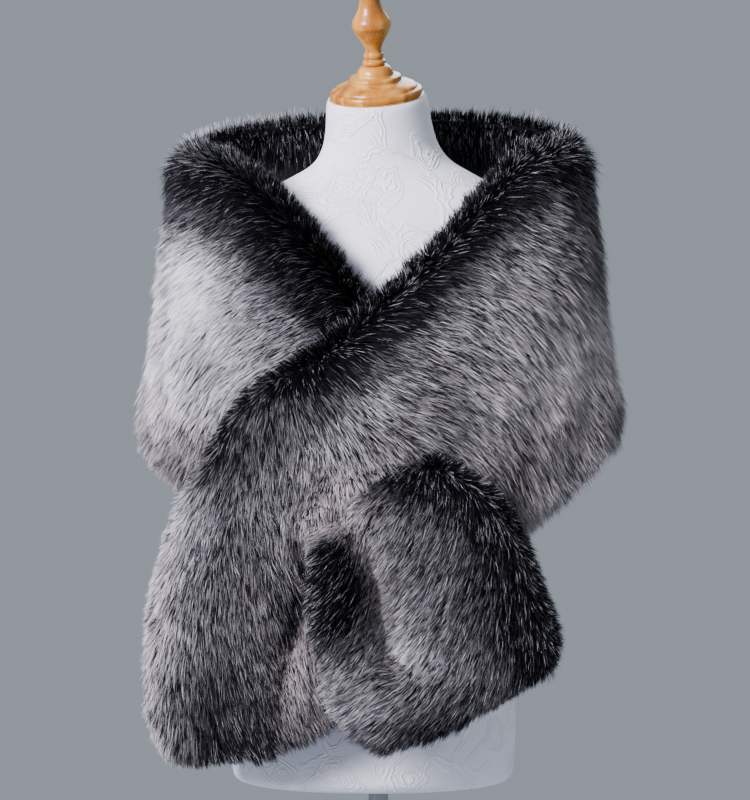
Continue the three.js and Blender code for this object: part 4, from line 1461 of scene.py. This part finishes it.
def front_nap(along, share):
    """As on the shoulder, but combed far back to the side."""
    toward, down, sideways = shoulder_nap(along, share)
    return toward, 0.8 * down, sideways * (1 + 1.25 * smoothstep(along, 0, 0.12))


def left_nap(along, share):
    """As on the front at first. On the hanging tail gravity leads, and the hairs fan out."""
    toward, down, sideways = front_nap(along, share)
    tail = smoothstep(along, 0.36, 0.6)
    fan = np.interp(share, [0.03, 0.12, 0.25, 0.45, 1], [-0.4, -0.2, 0.15, 0.45, 0.6])
    return (
        toward * (1 - tail) + fan * tail,
        down * (1 - tail) + tail,
        sideways * (1 - tail) + 0.05 * tail,
    )


def pulled_nap(along, share):
    """Down and toward the lower left, splayed outward at the dark edge."""
    toward = np.interp(share, [0.03, 0.12, 0.3, 0.5, 1], [-0.6, 0.0, 0.6, 0.9, 0.9])
    return toward, np.interp(share, [0.03, 0.2, 0.4, 0.7, 1], [0.5, 1.0, 0.75, 0.35, 0.2]), 0.1


def inner_nap(along, share):
    """Down the inner side."""
    return 0.9, 0.2, 0.0


middle_forces = left_nap(np.array([0.5]), np.array([0.5]))
print("forces at the left front's middle:", np.round(middle_forces, 2).ravel())

# %% [markdown]
# The back and the left front are grown in two pieces each, so that no piece gets too large. A
# piece leaves out the hairs that another stretch hides.

# %% The strands of the four stretches


def outside_range(start, end):
    """Hides all but a range of along."""
    return lambda along, share: (along < start) | (along > end)


back_strands = [
    grow(f"back_strands_{title}", back, back_pelt, 38000, seed, shoulder_nap, hidden=outside_range(*half))
    for title, seed, half in (("left", 101, (0, 0.5)), ("right", 102, (0.5, 1)))
]
right_strands = [
    grow("right_front_strands", right_front, right_pelt, 80000, 103, front_nap, hidden=under_left_front)
]
left_strands = [
    grow(f"left_front_strands_{title}", left_front, left_pelt, 82000, seed, left_nap,
         hidden=lambda a, s, half=half: under_pulled_end(a, s) | (a < half[0]) | (a > half[1]))
    for title, seed, half in (("upper", 104, (0, 0.46)), ("tail", 105, (0.46, 1)))
]
pulled_strands = [
    grow("pulled_end_strands", pulled_end, pulled_pelt, 70000, 106, pulled_nap,
         hidden=lambda a, s: a < 0.13, length=23.0, rise=(62.0, 22.0))
]

# %% [markdown]
# The pelt is turned over a little at its edges, so short hair also grows just inside them. At
# the back a wider band of it shows behind the neck, above the lining, and it is all black.

# %% Hair on the inner side of the edges
inner_strands = [
    grow(f"{title}_edge_strands", stretch, pelt, count, seed, inner_nap, side=-1,
         window=(0.0, reach), length=24.0, rise=(45.0, 10.0))
    for title, stretch, pelt, count, seed, reach in (
        ("back", back, inner_pelt, 16000, 107, 0.1),
        ("right_front", right_front, right_pelt, 7000, 108, 0.04),
        ("left_front", left_front, left_pelt, 14000, 109, 0.04),
        ("pulled_end", pulled_end, pulled_pelt, 5000, 110, 0.04),
    )
]

# %% [markdown]
# Each wall is listed with its stretch, its cut width, its strands and what it rests on, but the loop only
# turns the strands and the resting pieces into lists. The cut width is that of one long strip, 0.34 m wide
# without the hairs' overhang. The pulled end narrows where the slit gathers it, so less of its width shows,
# and it is listed at 0.24 m. The lining is a plain sheet that hangs inside the back, and it is not in the
# list.

for wall, stretch, wide, strands, rests in (
    (back_wall, back, 0.34, back_strands + inner_strands[:1], [torso]),
    (right_wall, right_front, 0.34, right_strands + inner_strands[1:2], [torso]),
    (left_wall, left_front, 0.34, left_strands + inner_strands[2:3], [torso, right_wall]),
    (pulled_wall, pulled_end, 0.24, pulled_strands + inner_strands[3:], [left_wall]),
):
    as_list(rests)
    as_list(strands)

# %% [markdown]
# The studio is plain: a wide pale floor that turns into the even backdrop colour with distance,
# so no horizon shows, and soft lights. The broad key stands in front on the left, a weaker fill
# on the right, and a light high behind the form lifts the tips of the fur. A curved paper
# backdrop would do the same as the fading floor, but only from one side.

# %% Floor
BACKDROP = (0.30, 0.335, 0.385)
FLOOR_HALF = 9.0
FADE_REACH = 6.0
floor_mesh = bpy.data.meshes.new("studio_floor")
floor_mesh.from_pydata(
    [(x * FLOOR_HALF, y * FLOOR_HALF, -0.0005) for x, y in ((-1, -1), (1, -1), (1, 1), (-1, 1))],
    [],
    [(0, 1, 2, 3)],
)
floor = bpy.data.objects.new("studio_floor", floor_mesh)
bpy.context.scene.collection.objects.link(floor)
floor_finish = Finish("studio_floor", Base_Color=(0.34, 0.37, 0.42, 1), Roughness=0.8)
floor_far = floor_finish.add("ShaderNodeVectorMath", {"operation": "LENGTH"}, _0=floor_finish.place())
floor_share = times(floor_finish, floor_far.outputs["Value"], FADE_REACH, "DIVIDE")
fade = floor_finish.ramp(floor_share, (0.05, 0.0), (0.13, 1.0))
glow = floor_finish.add("ShaderNodeEmission", Color=(*BACKDROP, 1), Strength=1.0)
floor_mix = floor_finish.add("ShaderNodeMixShader", _0=fade)
floor_finish.tree.links.new(floor_finish.shader.outputs[0], floor_mix.inputs[1])
floor_finish.tree.links.new(glow.outputs[0], floor_mix.inputs[2])
output = floor_finish.tree.nodes["Material Output"]
floor_finish.tree.links.new(floor_mix.outputs[0], output.inputs["Surface"])
floor_mesh.materials.append(floor_finish.material)
floor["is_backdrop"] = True
floor_finish.say()

# %% The world and the lights
world = bpy.data.worlds.new("studio")
world.use_nodes = True
world.node_tree.nodes["Background"].inputs["Color"].default_value = (*BACKDROP, 1)
world.node_tree.nodes["Background"].inputs["Strength"].default_value = 1.0
bpy.context.scene.world = world


def soft_light(name, place, target, size, power, colour):
    """A square area light that faces its target."""
    light = bpy.data.lights.new(name, "AREA")
    light.size, light.energy, light.color = size, power, colour
    lamp = bpy.data.objects.new(name, light)
    lamp.location = place
    lamp.rotation_euler = (Vector(target) - Vector(place)).to_track_quat("-Z", "Y").to_euler()
    bpy.context.scene.collection.objects.link(lamp)


soft_light("key", (-2.25, -2.15, 2.05), (0, 0, 0.65), 1.3, 362, (0.94, 0.905, 1.0))
soft_light("fill", (2.2, -1.8, 1.2), (0, 0, 0.6), 1.8, 10, (0.95, 0.97, 1.0))
soft_light("rim", (0.5, 2.0, 2.3), (0, 0, 0.8), 1.4, 40, (0.95, 0.97, 1.0))

print("lights:", ", ".join(light.name for light in bpy.data.lights))

# %% [markdown]
# A photograph of clothes is taken from a few metres away with a long lens, which keeps the form's
# proportions. The camera stands at the height of the collar and looks down by three degrees.

# %% Camera
CAMERA_PLACE = (-0.00374, -3.994518, 0.809344)
LOOKS_DOWN = 3
lens = bpy.data.cameras.new("studio_camera")
lens.sensor_fit = "AUTO"
lens.sensor_width = 36.0
lens.lens = 163.636
camera = bpy.data.objects.new("studio_camera", lens)
camera.location = CAMERA_PLACE
camera.rotation_euler = (math.radians(90 - LOOKS_DOWN), 0, 0)
bpy.context.scene.collection.objects.link(camera)
bpy.context.scene.camera = camera
print(f"{lens.name}: {lens.lens:.0f} mm, {-camera.location.y:.2f} m from the pole")

# %% [markdown]
# Hair may stand a little proud of the imported model, but the object must keep its size. The box of all
# that was made here is set against the box of the imported model, and how far each side grows is printed.

# %% Sizes
low, high = (list(corner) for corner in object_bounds())
print("grows by", [round(float(c - v), 4) for c, v in zip(cad_low, low)],
      [round(float(v - c), 4) for c, v in zip(cad_high, high)])
